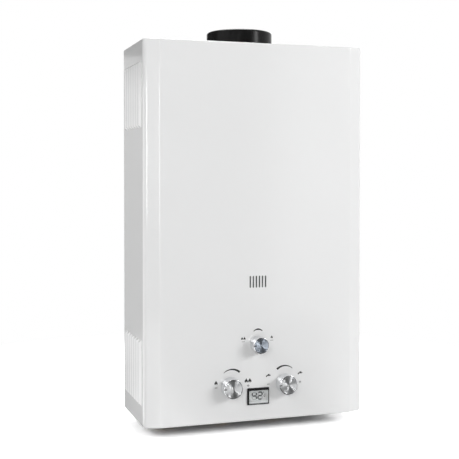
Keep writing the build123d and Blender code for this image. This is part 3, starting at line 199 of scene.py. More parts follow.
def soft_box(name, turn, lift, reach, width, height, watts):
    """Lamp facing the heater, turned to the right of its front and lifted, both in degrees."""
    lamp = bpy.data.lights.new(name, "AREA")
    lamp.shape = "RECTANGLE"
    lamp.size = width
    lamp.size_y = height
    lamp.energy = watts
    made = bpy.data.objects.new(name, lamp)
    across = math.radians(turn)
    rise = math.radians(lift)
    outward = Vector((math.cos(rise) * math.sin(across), -math.cos(rise) * math.cos(across), math.sin(rise)))
    made.location = lamp_aim + reach * outward
    made.rotation_euler = (-outward).to_track_quat("-Z", "Y").to_euler()
    made.visible_camera = False
    made.visible_glossy = False
    scene.collection.objects.link(made)


soft_box("key_box", turn=48, lift=20, reach=5.0, width=2.4, height=1.4, watts=122)
soft_box("front_box", turn=-28, lift=20, reach=5.0, width=2.4, height=1.4, watts=52)
soft_box("left_box", turn=-72, lift=34, reach=4.0, width=2.0, height=2.0, watts=37)
soft_box("back_box", turn=170, lift=42, reach=5.0, width=2.4, height=2.4, watts=70)

# Cards that only metal and gloss can see. Black cloth runs from the heater's foot up a wall in front and
# hangs behind on the left; bright strips draw the lines along the folds, the louvres and the collar.
black_tone = 0.03
grey_tone = 0.7
cloth_roughness = 0.9
strip_middle = 0.5
strip_fade = 0.3
first_bounces = 0.5
floor_glow = 0.9
louvre_glow = 2.8
skirt_glow = 2.2
card_level = floor_level + 0.002
strip_level = floor_level + 0.003
knee_level = -0.15
collar_level = 0.46
drape_level = 0.6
foot_y = -0.2
wall_y = -1.5
screen_left, screen_right, screen_top, screen_y = -2.2, -0.18, 1.6, 0.9
louvre_left, louvre_right = -2.1, -1.22
louvre_front, louvre_back = -0.37, 0.88
top_half, top_front, top_back, top_level = 0.7, -0.15, 0.9, 2.2


def soft_share(tree):
    """Share of a strip's glow: it fades to nothing at both sides and at the lower end."""
    place = tree.nodes.new("ShaderNodeTexCoord")
    split = tree.nodes.new("ShaderNodeSeparateXYZ")
    tree.links.new(place.outputs["Generated"], split.inputs[0])
    inward = reckoned(tree, "PINGPONG", split.outputs["X"], strip_middle)
    across = eased(tree, inward, 0.0, strip_fade)
    upward = eased(tree, split.outputs["Z"], 0.0, strip_fade)
    return reckoned(tree, "MULTIPLY", across, upward)


def card(name, tone, corners, glow=0.0, soft=False):
    """Card that the camera and the lamps pass through, bright if it has a glow."""
    shape = bmesh.new()
    shape.faces.new([shape.verts.new(corner) for corner in corners])
    mesh = bpy.data.meshes.new(name)
    shape.to_mesh(mesh)
    shape.free()
    cloth = bpy.data.materials.new(name)
    cloth.use_nodes = True
    tree = cloth.node_tree
    shader = tree.nodes["Principled BSDF"]
    shader.inputs["Base Color"].default_value = (tone, tone, tone, 1)
    shader.inputs["Roughness"].default_value = cloth_roughness
    shader.inputs["Emission Color"].default_value = white_colour
    unscattered = reckoned(tree, "LESS_THAN", kind_of_ray(tree, "Diffuse Depth"), first_bounces)
    shine = reckoned(tree, "MULTIPLY", unscattered, glow)
    if soft:
        shine = reckoned(tree, "MULTIPLY", shine, soft_share(tree))
    tree.links.new(shine, shader.inputs["Emission Strength"])
    mesh.materials.append(cloth)
    made = bpy.data.objects.new(name, mesh)
    made.visible_camera = False
    made.visible_diffuse = False
    made.visible_shadow = False
    made.visible_transmission = False
    scene.collection.objects.link(made)


def upright(name, tone, left, right, low, high, depth=wall_y, glow=0.0, soft=False):
    """Upright card across the view at a depth."""
    corners = [(left, depth, low), (right, depth, low), (right, depth, high), (left, depth, high)]
    card(name, tone, corners, glow, soft)


def sideways(name, tone, x, front, back, low, high, glow=0.0):
    """Upright card beside the heater."""
    card(name, tone, [(x, front, low), (x, back, low), (x, back, high), (x, front, high)], glow)


def runner(name, tone, near, far, level, glow=0.0):
    """Card on the floor from the heater's foot to the wall, with its left and right edge at each end."""
    foot = [(near[0], foot_y, level), (near[1], foot_y, level)]
    head = [(far[1], wall_y, level), (far[0], wall_y, level)]
    card(name, tone, foot + head, glow)


runner("black_runner", black_tone, near=(-0.06, 0.13), far=(0.0, 0.75), level=card_level)
runner("left_floor", grey_tone, near=(-0.9, -0.10), far=(-1.3, -0.04), level=card_level, glow=floor_glow)
runner("right_floor", grey_tone, near=(0.17, 1.2), far=(0.8, 1.6), level=card_level, glow=floor_glow)
upright("black_wall", black_tone, left=0.0, right=0.55, low=card_level, high=drape_level)
upright("black_drape", black_tone, left=0.0, right=0.95, low=drape_level, high=2.6)
upright("black_banner", black_tone, left=-1.83, right=0.0, low=collar_level, high=1.2)
upright("band_card", black_tone, left=-0.95, right=-0.62, low=card_level, high=collar_level)
sideways("black_side", black_tone, screen_left, front=0.3, back=screen_y, low=collar_level, high=screen_top)
sideways("louvre_strip", black_tone, louvre_left, louvre_front, louvre_back, low=card_level,
         high=collar_level, glow=louvre_glow)
upright("louvre_screen", black_tone, louvre_left, louvre_right, low=card_level, high=collar_level,
        depth=louvre_back, glow=louvre_glow)
card("louvre_runner", black_tone, [(-0.30, -0.15, strip_level), (-0.27, 0.02, strip_level),
                                   (louvre_right, louvre_back, strip_level),
                                   (louvre_left, louvre_back, strip_level),
                                   (louvre_left, louvre_front, strip_level)], glow=louvre_glow)
upright("crease_strip", black_tone, left=-0.64, right=-0.36, low=knee_level, high=collar_level,
        glow=16.0, soft=True)
upright("crease_skirt", black_tone, left=-0.54, right=-0.02, low=card_level, high=knee_level, glow=skirt_glow)
runner("crease_runner", black_tone, near=(-0.225, -0.165), far=(-0.54, -0.02), level=strip_level,
       glow=skirt_glow)
upright("fold_strip", black_tone, left=-1.5, right=-0.90, low=knee_level, high=collar_level,
        glow=11.0, soft=True)
upright("fold_skirt", black_tone, left=-1.5, right=-0.95, low=card_level, high=knee_level, glow=skirt_glow)
runner("fold_runner", black_tone, near=(-0.30, -0.24), far=(-1.5, -0.95), level=strip_level, glow=skirt_glow)
upright("collar_strip", black_tone, left=1.5, right=2.15, low=0.5, high=1.2, depth=-2.0, glow=15.0)
upright("grey_screen", grey_tone, screen_left, screen_right, low=floor_level, high=collar_level,
        depth=screen_y)
upright("black_screen", black_tone, screen_left, screen_right, low=collar_level, high=screen_top,
        depth=screen_y)
card("top_card", black_tone, [(-top_half, top_front, top_level), (top_half, top_front, top_level),
                              (top_half, top_back, top_level), (-top_half, top_back, top_level)], glow=22.0)

# Back panel and brackets: hot-dip galvanised sheet, sheared and folded. Its zinc froze in feathery
# crystals, so each patch mirrors the light a little differently.
zinc_light = (0.66, 0.68, 0.70, 1)
zinc_dark = (0.40, 0.42, 0.44, 1)
zinc_roughness = (0.42, 0.6)
crystal_per_metre = 95.0
noise_low, noise_high = 0.3, 0.7


def new_finish(name):
    """New material with its node tree and shader."""
    material = bpy.data.materials.new(name)
    material.use_nodes = True
    return material, material.node_tree, material.node_tree.nodes["Principled BSDF"]


def noise_over(tree, grain, detail, stretch=(1, 1, 1)):
    """Noise in the piece's own metres, with the given grain per metre along each axis."""
    place = tree.nodes.new("ShaderNodeTexCoord")
    scaled = tree.nodes.new("ShaderNodeMapping")
    scaled.inputs["Scale"].default_value = stretch
    noise = tree.nodes.new("ShaderNodeTexNoise")
    noise.inputs["Scale"].default_value = grain
    noise.inputs["Detail"].default_value = detail
    tree.links.new(place.outputs["Object"], scaled.inputs["Vector"])
    tree.links.new(scaled.outputs["Vector"], noise.inputs["Vector"])
    return noise.outputs["Fac"]


def tone_between(tree, amount, dark, light, low=noise_low, high=noise_high):
    """Colour that goes from dark to light as the amount goes from low to high."""
    ramp = tree.nodes.new("ShaderNodeValToRGB")
    ramp.color_ramp.elements[0].position = low
    ramp.color_ramp.elements[0].color = dark
    ramp.color_ramp.elements[1].position = high
    ramp.color_ramp.elements[1].color = light
    tree.links.new(amount, ramp.inputs["Fac"])
    return ramp.outputs["Color"]


def span_of(tree, amount, least, most):
    """Number that goes from least to most as the amount goes over the middle of its range."""
    spread = tree.nodes.new("ShaderNodeMapRange")
    spread.inputs["From Min"].default_value = noise_low
    spread.inputs["From Max"].default_value = noise_high
    spread.inputs["To Min"].default_value = least
    spread.inputs["To Max"].default_value = most
    tree.links.new(amount, spread.inputs["Value"])
    return spread.outputs["Result"]


def raise_relief(tree, shader, amount, strength, height):
    """Bump of the given height in metres from an amount."""
    bump = tree.nodes.new("ShaderNodeBump")
    bump.inputs["Strength"].default_value = strength
    bump.inputs["Distance"].default_value = height
    tree.links.new(amount, bump.inputs["Height"])
    tree.links.new(bump.outputs["Normal"], shader.inputs["Normal"])


def dress(material, *names):
    """Puts a material on CAD nodes."""
    for name in names:
        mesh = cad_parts[name].data
        mesh.materials.clear()
        mesh.materials.append(material)


galvanised, tree, shader = new_finish("galvanised_sheet")
place = tree.nodes.new("ShaderNodeTexCoord")
crystals = tree.nodes.new("ShaderNodeTexVoronoi")
crystals.inputs["Scale"].default_value = crystal_per_metre
crystals.inputs["Randomness"].default_value = 1.0
tree.links.new(place.outputs["Object"], crystals.inputs["Vector"])
split = tree.nodes.new("ShaderNodeSeparateColor")
tree.links.new(crystals.outputs["Color"], split.inputs["Color"])
zinc = tone_between(tree, split.outputs["Red"], zinc_dark, zinc_light, low=0.0, high=1.0)
tree.links.new(zinc, shader.inputs["Base Color"])
tree.links.new(span_of(tree, split.outputs["Green"], *zinc_roughness), shader.inputs["Roughness"])
shader.inputs["Metallic"].default_value = 0.5
raise_relief(tree, shader, noise_over(tree, grain=260.0, detail=4.0), strength=0.15, height=0.0002)
dress(galvanised, "back_panel", "exchanger_brackets", "valve_bracket")

# Bottom plate: galvanised sheet that closes the case from below, punched for the pipe stubs. It is given
# a dull dark grey with no gloss, darker than bare zinc: painted shade, so it throws little light under the
# case.


def mottled(name, grain, detail, dark, light, roughness, stretch=(1, 1, 1), relief=None):
    """Finish whose colour and gloss, and its relief if it has one, drift together over one noise."""
    material, tree, shader = new_finish(name)
    drift = noise_over(tree, grain, detail, stretch)
    tree.links.new(tone_between(tree, drift, dark, light), shader.inputs["Base Color"])
    tree.links.new(span_of(tree, drift, *roughness), shader.inputs["Roughness"])
    if relief:
        raise_relief(tree, shader, drift, *relief)
    return material, tree, shader


# This dark grey is painted shade under the case, not the sheet's own tone.
shade_dark_sheet, tree, shader = mottled("shade_darkened_sheet", grain=130.0, detail=6.0, roughness=(0.55, 0.72),
                                  dark=(0.13, 0.135, 0.14, 1), light=(0.21, 0.215, 0.22, 1))
shader.inputs["Specular IOR Level"].default_value = 0.25
raise_relief(tree, shader, noise_over(tree, grain=700.0, detail=4.0), strength=0.12, height=0.0002)
dress(shade_dark_sheet, "bottom_plate")

# Draft hood: aluminised steel sheet, pressed and spot-welded, over the heat exchanger. Warm flue gas has
# dulled it in upright streaks.
aluminised, tree, shader = mottled("aluminised_steel", grain=60.0, detail=5.0, stretch=(1, 1, 0.12),
                                   dark=(0.42, 0.42, 0.42, 1), light=(0.6, 0.61, 0.62, 1),
                                   roughness=(0.32, 0.5))
shader.inputs["Metallic"].default_value = 1.0
raise_relief(tree, shader, noise_over(tree, grain=900.0, detail=3.0), strength=0.1, height=0.0001)
dress(aluminised, "draft_hood")

# Heat exchanger, firebox and water pipes: sheet copper and drawn copper tube, brazed together. The metal
# is bright where it is new and browned in patches by the heat.
copper, tree, shader = mottled("browned_copper", grain=22.0, detail=6.0, roughness=(0.5, 0.26),
                               dark=(0.30, 0.13, 0.08, 1), light=(0.80, 0.42, 0.28, 1))
shader.inputs["Metallic"].default_value = 1.0
raise_relief(tree, shader, noise_over(tree, grain=500.0, detail=3.0), strength=0.08, height=0.0002)
dress(copper, "exchanger_casing", "exchanger_fins", "exchanger_tube", "firebox", "cold_pipe", "hot_pipe")

# Burner tray and bars: stainless sheet, pressed into a tray and a row of bars that stand in it. The steel
# is tinted straw and blue round the flame ports.
tinted, tree, shader = mottled("tinted_stainless", grain=30.0, detail=4.0, roughness=(0.42, 0.28),
                               dark=(0.26, 0.25, 0.30, 1), light=(0.56, 0.53, 0.48, 1))
shader.inputs["Metallic"].default_value = 1.0
brushing = noise_over(tree, grain=700.0, detail=3.0, stretch=(1, 0.1, 1))
raise_relief(tree, shader, brushing, strength=0.08, height=0.0001)
dress(tinted, "burner_tray", "burner_bars")

# Manifold, riser, gas valve and season valve: die-cast aluminium, bored where the gas goes through. The
# castings are tumbled and left raw.
casting, tree, shader = mottled("die_cast_aluminium", grain=320.0, detail=6.0, roughness=(0.38, 0.58),
                                dark=(0.42, 0.43, 0.44, 1), light=(0.62, 0.63, 0.64, 1),
                                relief=(0.25, 0.0003))
shader.inputs["Metallic"].default_value = 0.95
dress(casting, "gas_manifold", "season_valve", "gas_valve_body", "gas_valve_cap", "gas_riser")

# Water valve, drain valve, jets, spindles and push rod: brass, forged or turned from bar. Fine tool marks
# run round the pieces under a thin tarnish.
brass, tree, shader = mottled("turned_brass", grain=70.0, detail=5.0, roughness=(0.4, 0.24),
                              dark=(0.42, 0.29, 0.12, 1), light=(0.78, 0.58, 0.28, 1))
shader.inputs["Metallic"].default_value = 1.0
tool_marks = noise_over(tree, grain=900.0, detail=2.0, stretch=(0.1, 0.1, 3.0))
raise_relief(tree, shader, tool_marks, strength=0.1, height=0.0001)
dress(brass, "manifold_plug", "injectors", "water_valve_body", "water_valve_cover", "gas_plunger", "push_rod",
      "season_spindle", "gas_spindle", "water_spindle", "drain_valve")

# Solenoid core, spark pins, strainer, thermostat, switch lever, spring and small screws: drawn and stamped
# steel, plated bright against rust.
plated, tree, shader = mottled("plated_steel", grain=240.0, detail=5.0, roughness=(0.2, 0.38),
                               dark=(0.46, 0.46, 0.47, 1), light=(0.7, 0.7, 0.71, 1), relief=(0.06, 0.0001))
shader.inputs["Metallic"].default_value = 1.0
dress(plated, "plunger_spring", "solenoid_plunger", "electrode_pins", "overheat_thermostat",
      "microswitch_lever", "inlet_filter", "diaphragm_screws")

# Solenoid coil, microswitch and igniter: closed housings of moulded resin, held to the valves and the back
# panel. The mould's spark-eroded grain leaves them satin.
spark_detail = 4.0
spark_relief = (0.2, 0.0001)


def moulded(name, dark, light, roughness, grain):
    """Moulded plastic with a fine grain that breaks up its colour and gloss."""
    return mottled(name, grain, spark_detail, dark, light, roughness, relief=spark_relief)[0]


coil_resin = moulded("coil_resin", dark=(0.02, 0.035, 0.09, 1), light=(0.035, 0.06, 0.14, 1),
                     roughness=(0.35, 0.5), grain=500.0)
dress(coil_resin, "solenoid_housing")
switch_phenolic = moulded("switch_phenolic", dark=(0.018, 0.018, 0.018, 1), light=(0.035, 0.034, 0.033, 1),
                          roughness=(0.45, 0.6), grain=900.0)
dress(switch_phenolic, "microswitch")
igniter_potting = moulded("igniter_potting", dark=(0.05, 0.05, 0.052, 1), light=(0.085, 0.085, 0.09, 1),
                          roughness=(0.4, 0.6), grain=400.0)
dress(igniter_potting, "igniter_box")

# Battery box, cells and door: a moulded nylon box above the bottom plate with two cells in plain wrappers.
# A hinged door of pale plastic closes it from below.
box_nylon = moulded("box_nylon", dark=(0.06, 0.06, 0.06, 1), light=(0.1, 0.1, 0.1, 1),
                    roughness=(0.45, 0.6), grain=800.0)
dress(box_nylon, "battery_box")
cell_wrapper = moulded("cell_wrapper", dark=(0.07, 0.08, 0.13, 1), light=(0.1, 0.12, 0.18, 1),
                       roughness=(0.22, 0.32), grain=300.0)
dress(cell_wrapper, "battery_cells")
door_plastic = moulded("door_plastic", dark=(0.68, 0.68, 0.67, 1), light=(0.75, 0.75, 0.74, 1),
                       roughness=(0.38, 0.5), grain=900.0)
dress(door_plastic, "battery_door")

# Diaphragm and collar gasket: moulded black rubber. One is clamped in the water valve, and the other seals
# the collar's foot.
seal_rubber = moulded("seal_rubber", dark=(0.02, 0.02, 0.02, 1), light=(0.045, 0.045, 0.045, 1),
                      roughness=(0.6, 0.8), grain=700.0)
dress(seal_rubber, "diaphragm", "collar_gasket")

# Spark insulators: ceramic, pressed, glazed and fired. They hold the spark pins clear of the metal at the
# burner.
glazed_ceramic = moulded("glazed_ceramic", dark=(0.8, 0.77, 0.7, 1), light=(0.88, 0.86, 0.8, 1),
                         roughness=(0.25, 0.4), grain=600.0)
dress(glazed_ceramic, "electrode_insulators")

# Drain knob: black nylon, moulded in one piece and turned by hand. It sits on the drain valve under the
# bottom plate.
drain_nylon = moulded("drain_nylon", dark=(0.025, 0.025, 0.028, 1), light=(0.045, 0.045, 0.05, 1),
                      roughness=(0.4, 0.55), grain=900.0)
dress(drain_nylon, "drain_knob")

# Pipe stubs: brass bar, turned and threaded G 1/2, with the hexagon left from the bar. Each goes through
# the bottom plate and is screwed or brazed to what it feeds.
thread_pitch = 0.001814
thread_depth = 0.00116
thread_rows_per_turn = 8
stub_columns = 72
stub_y = -0.095
stub_end = -0.370
thread_start = -0.351
plate_level = -0.3478
hex_half = 0.0135
hex_top = -0.3398
hex_chamfer = 0.0012
thread_radius = 0.01048
undercut_radius = 0.0093
tail_radius = 0.010
bore_radius = 0.0065
end_chamfer = 0.0009


def add_piece(name, shape, body, material, sharp=35):
    """Turns a finished bmesh into a piece of a body, with smooth shading up to the sharp angle."""
    bmesh.ops.recalc_face_normals(shape, faces=shape.faces)
    mesh = bpy.data.meshes.new(name)
    shape.to_mesh(mesh)
    shape.free()
    mesh.materials.append(material)
    mesh.shade_smooth()
    mesh.set_sharp_from_angle(angle=math.radians(sharp))
    made = bpy.data.objects.new(name, mesh)
    scene.collection.objects.link(made)
    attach(made, body)
    return made


def loft(shape, rings, closed=False):
    """Skins rings of equally many points into a bmesh, and joins the last to the first if closed."""
    rows = [[shape.verts.new(point) for point in ring] for ring in rings]
    pairs = list(zip(rows, rows[1:]))
    if closed:
        pairs.append((rows[-1], rows[0]))
    for near, far in pairs:
        count = len(near)
        for index in range(count):
            after = (index + 1) % count
            shape.faces.new((near[index], near[after], far[after], far[index]))
    return rows


def round_row(x, z, radius_at):
    """Ring of points round a stub's axis at a level, with a radius for each angle."""
    ring = []
    for index in range(stub_columns):
        angle = 2 * math.pi * index / stub_columns
        radius = radius_at(angle)
        ring.append((x + radius * math.cos(angle), stub_y + radius * math.sin(angle), z))
    return ring


def hexagon(half):
    """Radius of a hexagon at each angle, for its half width across flats."""
    sixth = math.pi / 3
    return lambda angle: half / math.cos(angle % sixth - sixth / 2)


def thread_at(z, fade):
    """Radius of the thread at each angle on a level; the fade flattens it near its ends."""
    def radius(angle):
        turn = (z - stub_end) / thread_pitch - angle / (2 * math.pi)
        groove = 0.5 - 0.5 * math.cos(2 * math.pi * turn)
        return thread_radius - thread_depth * fade * groove
    return radius


def plain(radius):
    """The same radius at every angle."""
    return lambda angle: radius


def pipe_stub(name, node, x, tail_top, tip_radius, tip_top):
    """Threaded stub that stands for a CAD node, from its lower end up to its tip and back down its bore."""
    levels = [(plain(bore_radius), stub_end + end_chamfer), (plain(bore_radius + end_chamfer), stub_end),
              (plain(undercut_radius), stub_end)]
    low = stub_end + end_chamfer
    count = int(thread_rows_per_turn * (thread_start - low) / thread_pitch)
    for index in range(count + 1):
        z = low + (thread_start - low) * index / count
        ends = min(1.0, (thread_start - z) / thread_pitch)
        levels.append((thread_at(z, ends), z))
    levels += [(plain(undercut_radius), thread_start), (plain(undercut_radius), plate_level)]
    levels += [(plain(hex_half - hex_chamfer), plate_level), (hexagon(hex_half), plate_level + hex_chamfer)]
    levels += [(hexagon(hex_half), hex_top - hex_chamfer), (plain(hex_half - hex_chamfer), hex_top)]
    levels += [(plain(tail_radius), hex_top), (plain(tail_radius), tail_top), (plain(tip_radius), tail_top)]
    levels += [(plain(tip_radius), tip_top), (plain(bore_radius), tip_top)]
    shape = bmesh.new()
    loft(shape, [round_row(x, z, radius_at) for radius_at, z in levels], closed=True)
    made = add_piece(name, shape, "case", brass)
    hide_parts(node)


pipe_stub("cold_inlet_stub", "cold_inlet", x=0.054, tail_top=-0.3163, tip_radius=0.0080, tip_top=-0.3103)
pipe_stub("gas_inlet_stub", "gas_inlet", x=-0.054, tail_top=-0.3163, tip_radius=0.0080, tip_top=-0.3103)
pipe_stub("hot_outlet_stub", "hot_outlet", x=-0.160, tail_top=-0.3258, tip_radius=0.0071, tip_top=-0.3338)

# Return spring: plated spring wire wound in six turns between the gas valve's end cap and its plunger. It
# stands on the cap and presses the plunger onto its seat.
spring_turns = 6
spring_columns = 40
wire_sides = 12
wire_radius = 0.0007
coil_radius = 0.0070
coil_foot, coil_head = -0.0730, -0.0433
coil_y, coil_z = -0.095, -0.2843


def capped(shape, rings):
    """Skins rings into a bmesh and closes both ends."""
    rows = loft(shape, rings)
    shape.faces.new(rows[0])
    shape.faces.new(rows[-1])


lead = (coil_head - coil_foot) / (2 * math.pi * spring_turns)
rows = []
for index in range(spring_turns * spring_columns + 1):
    angle = 2 * math.pi * index / spring_columns
    outward = Vector((0, math.cos(angle), math.sin(angle)))
    along = Vector((lead, -coil_radius * math.sin(angle), coil_radius * math.cos(angle))).normalized()
    beside = along.cross(outward)
    middle = Vector((coil_foot + lead * angle, coil_y, coil_z)) + coil_radius * outward
    ring = []
    for side in range(wire_sides):
        around = 2 * math.pi * side / wire_sides
        ring.append(middle + wire_radius * (math.cos(around) * outward + math.sin(around) * beside))
    rows.append(ring)
shape = bmesh.new()
capped(shape, rows)
spring = add_piece("return_spring", shape, "case", plated)
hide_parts("plunger_spring")
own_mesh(spring)

# Front cover: steel sheet, folded and welded, then powder-coated white and baked to a smooth gloss with a
# faint orange peel.
paint_light = (0.865, 0.868, 0.868, 1)
paint_dark = (0.848, 0.851, 0.851, 1)
paint_roughness = (0.15, 0.18)

paint, tree, shader = new_finish("white_powder_coat")
drift = noise_over(tree, grain=3.0, detail=2.0)
tree.links.new(tone_between(tree, drift, paint_dark, paint_light), shader.inputs["Base Color"])
gloss = noise_over(tree, grain=380.0, detail=2.0)
tree.links.new(span_of(tree, gloss, *paint_roughness), shader.inputs["Roughness"])
shader.inputs["Coat Weight"].default_value = 0.25
shader.inputs["Coat Roughness"].default_value = 0.08
raise_relief(tree, shader, noise_over(tree, grain=620.0, detail=2.0), strength=0.03, height=0.0001)
dress(paint, "front_cover")

# Slot shade: a dark grey strip behind the six slots, held against the inside of the cover: painted shade
# for the dark inside the case that shows through the slots. Its tone drifts in faint clouds.
pane_half = 0.022
pane_low, pane_high = -0.1076, -0.0756
pane_front, pane_back = -0.1770, -0.1764
pane_edge = 0.0001

# Dark grey standing in for the shade inside the case: painted shade.
slot_shade = mottled("slot_shade_grey", grain=160.0, detail=5.0, stretch=(1, 1, 0.4), roughness=(0.18, 0.3),
               dark=(0.09, 0.09, 0.092, 1), light=(0.14, 0.14, 0.142, 1))[0]
rows = []
for inset, depth in ((pane_edge, pane_front), (0, pane_front + pane_edge), (0, pane_back - pane_edge),
                     (pane_edge, pane_back)):
    rows.append([(x * (pane_half - inset), depth, pane_low + inset if low else pane_high - inset)
                 for x, low in ((-1, True), (1, True), (1, False), (-1, False))])
shape = bmesh.new()
capped(shape, rows)
add_piece("slot_shade_pane", shape, "case", slot_shade)

# Cover screws: cold-headed steel, zinc-plated, with pan heads and a cross recess. Two go through the top of
# the cover and two through its lower lip.
screw_columns = 48
head_radius = 0.0038
head_height = 0.0022
head_side = 0.45 * head_height
shoulder_radius = 0.93 * head_radius
shoulder_height = 0.75 * head_height
dome_share = 0.78
dome_drop = 0.28
dome_steps = 22
shank_radius = 0.0020
shank_length = 0.008
tip_radius = 0.6 * shank_radius
tip_length = 0.4 * shank_radius
recess_half = 0.00042
recess_reach = 0.0021
recess_depth = 0.0011
recess_slope = 0.5
top_screw = (0.150, -0.0095, 0.350)
lip_screw = (0.208, -0.089, -0.350)


def cover_screw(shape, foot, outward):
    """Pan-head screw on its seat, its head on the outward side of it along z."""
    def ring(radius, rise, cut=False):
        points = []
        for index in range(screw_columns):
            angle = 2 * math.pi * index / screw_columns
            x = radius * math.cos(angle)
            y = radius * math.sin(angle)
            sunk = 0.0
            if cut and radius < recess_reach and min(abs(x), abs(y)) < recess_half:
                sunk = recess_depth * (1 - recess_slope * radius / recess_reach)
            points.append((foot[0] + x, foot[1] + y, foot[2] + outward * (rise - sunk)))
        return points

    rows = [ring(tip_radius, -shank_length), ring(shank_radius, -shank_length + tip_length)]
    rows += [ring(shank_radius, 0), ring(head_radius, 0), ring(head_radius, head_side)]
    rows.append(ring(shoulder_radius, shoulder_height))
    for index in range(dome_steps):
        share = dome_share * (1 - index / dome_steps)
        dome = head_height * (1 - dome_drop * share ** 2)
        rows.append(ring(share * head_radius, dome, cut=True))
    capped(shape, rows)


shape = bmesh.new()
for side in (-1, 1):
    cover_screw(shape, (side * top_screw[0], *top_screw[1:]), 1)
    cover_screw(shape, (side * lip_screw[0], *lip_screw[1:]), -1)
screws = add_piece("cover_screw_set", shape, "case", plated, sharp=30)
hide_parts("cover_screws")

# Flue collar: spun steel with a rolled rim, set on its gasket on top of the case. It is dipped in black
# enamel that runs to a satin gloss.
enamel, tree, shader = mottled("black_enamel", grain=40.0, detail=4.0, stretch=(1, 1, 0.3),
                               dark=(0.006, 0.006, 0.006, 1), light=(0.011, 0.011, 0.011, 1),
                               roughness=(0.20, 0.27))
shader.inputs["Specular IOR Level"].default_value = 0.14
raise_relief(tree, shader, noise_over(tree, grain=420.0, detail=2.0), strength=0.06, height=0.0002)
dress(enamel, "flue_collar")

# Control knobs: turned zinc, plated with bright chrome, each with a disc of spun aluminium let into its
# front. The discs show the rings of the tool, and the upper one is anodised a darker blue grey.
disc_middle = (0.5, 0.5, 0.5)
disc_plane = (1, 0, 1)
ring_grain = 90.0
ring_detail = 4.0
disc_roughness = (0.4, 0.47)
across_rings = 0.25

chrome, tree, shader = mottled("bright_chrome", grain=180.0, detail=4.0, roughness=(0.08, 0.14),
                               dark=(0.72, 0.73, 0.75, 1), light=(0.82, 0.83, 0.84, 1))
shader.inputs["Metallic"].default_value = 1.0
dress(chrome, "season_knob", "gas_knob", "water_knob")


def spun_disc(name, dark, light):
    """Spun aluminium: fine rings round the disc's middle, and gloss drawn out across them."""
    material, tree, shader = new_finish(name)
    place = tree.nodes.new("ShaderNodeTexCoord")
    centred = vector_step(tree, "SUBTRACT", place.outputs["Generated"], disc_middle)["Vector"]
    flat = vector_step(tree, "MULTIPLY", centred, disc_plane)["Vector"]
    radius = vector_step(tree, "LENGTH", flat)["Value"]
    rings = tree.nodes.new("ShaderNodeTexNoise")
    rings.noise_dimensions = "1D"
    rings.inputs["Scale"].default_value = ring_grain
    rings.inputs["Detail"].default_value = ring_detail
    tree.links.new(radius, rings.inputs["W"])
    groove = rings.outputs["Fac"]
    tree.links.new(tone_between(tree, groove, dark, light), shader.inputs["Base Color"])
    tree.links.new(span_of(tree, groove, *disc_roughness), shader.inputs["Roughness"])
    raise_relief(tree, shader, groove, strength=0.12, height=0.0001)
    shader.inputs["Metallic"].default_value = 1.0
    shader.inputs["Anisotropic"].default_value = 1.0
    shader.inputs["Anisotropic Rotation"].default_value = across_rings
    turn = tree.nodes.new("ShaderNodeTangent")
    turn.direction_type = "RADIAL"
    turn.axis = "Y"
    tree.links.new(turn.outputs["Tangent"], shader.inputs["Tangent"])
    return material


bright_disc = spun_disc("spun_aluminium", dark=(0.66, 0.67, 0.68, 1), light=(0.84, 0.85, 0.86, 1))
dress(bright_disc, "gas_knob_face", "water_knob_face")
blued_disc = spun_disc("blued_aluminium", dark=(0.34, 0.38, 0.44, 1), light=(0.52, 0.57, 0.64, 1))
dress(blued_disc, "season_knob_face")

# Pointers: slim bars of black plastic, moulded with broken edges. Each is pressed into the notch at the
# edge of its knob and turns with it.
pointer_plastic = moulded("pointer_plastic", dark=(0.012, 0.012, 0.013, 1), light=(0.03, 0.03, 0.032, 1),
                          roughness=(0.35, 0.5), grain=900.0)
knob_foot = -0.1788
knob_rise = 0.019
pointer_length = 0.0049
pointer_half = 0.00105
pointer_inset = 0.00025
pointer_bevel = 0.00025
pointer_sunk = 0.0013
pointer_proud = 0.00015


def pointer(name, body, x, z, radius):
    """Bar in the notch of a knob, pointing to nine o'clock."""
    front = knob_foot - knob_rise
    middle = (x - radius + pointer_inset + pointer_length / 2, front + (pointer_sunk - pointer_proud) / 2, z)
    size = (pointer_length, pointer_sunk + pointer_proud, 2 * pointer_half)
    shape = bmesh.new()
    bmesh.ops.create_cube(shape, size=1.0)
    bmesh.ops.scale(shape, verts=shape.verts, vec=size)
    bmesh.ops.translate(shape, verts=shape.verts, vec=middle)
    bmesh.ops.bevel(shape, geom=shape.edges[:], offset=pointer_bevel, segments=2, profile=0.5,
                    affect="EDGES")
    add_piece(name, shape, body, pointer_plastic)


pointer("season_pointer", "season_control", x=0, z=-0.2076, radius=0.015)
pointer("gas_pointer", "gas_control", x=-0.054, z=-0.2843, radius=0.018)
pointer("water_pointer", "water_control", x=0.054, z=-0.2843, radius=0.018)

# Display frame: glossy black plastic, moulded in one piece and snapped into the cover, narrow on the right
# and below, where the pale tray behind it shows. Its wider band at the top and left is partly painted shade.
frame_gloss = moulded("frame_plastic", dark=(0.008, 0.008, 0.009, 1), light=(0.016, 0.016, 0.017, 1),
                      roughness=(0.12, 0.2), grain=900.0)
frame_left, frame_right = -0.0215, 0.0215
frame_low, frame_high = -0.3202, -0.2892
frame_front = -0.1800
frame_back = -0.1781
frame_corner = 0.0012
frame_edge = 0.0004
edge_break = 0.3 * frame_edge
# The window sits off centre: the wider black at the top and left is in part painted shade of the recess.
window_left, window_right = -0.0178, 0.0203
window_low, window_high = -0.3184, -0.2939
window_corner = 0.0006


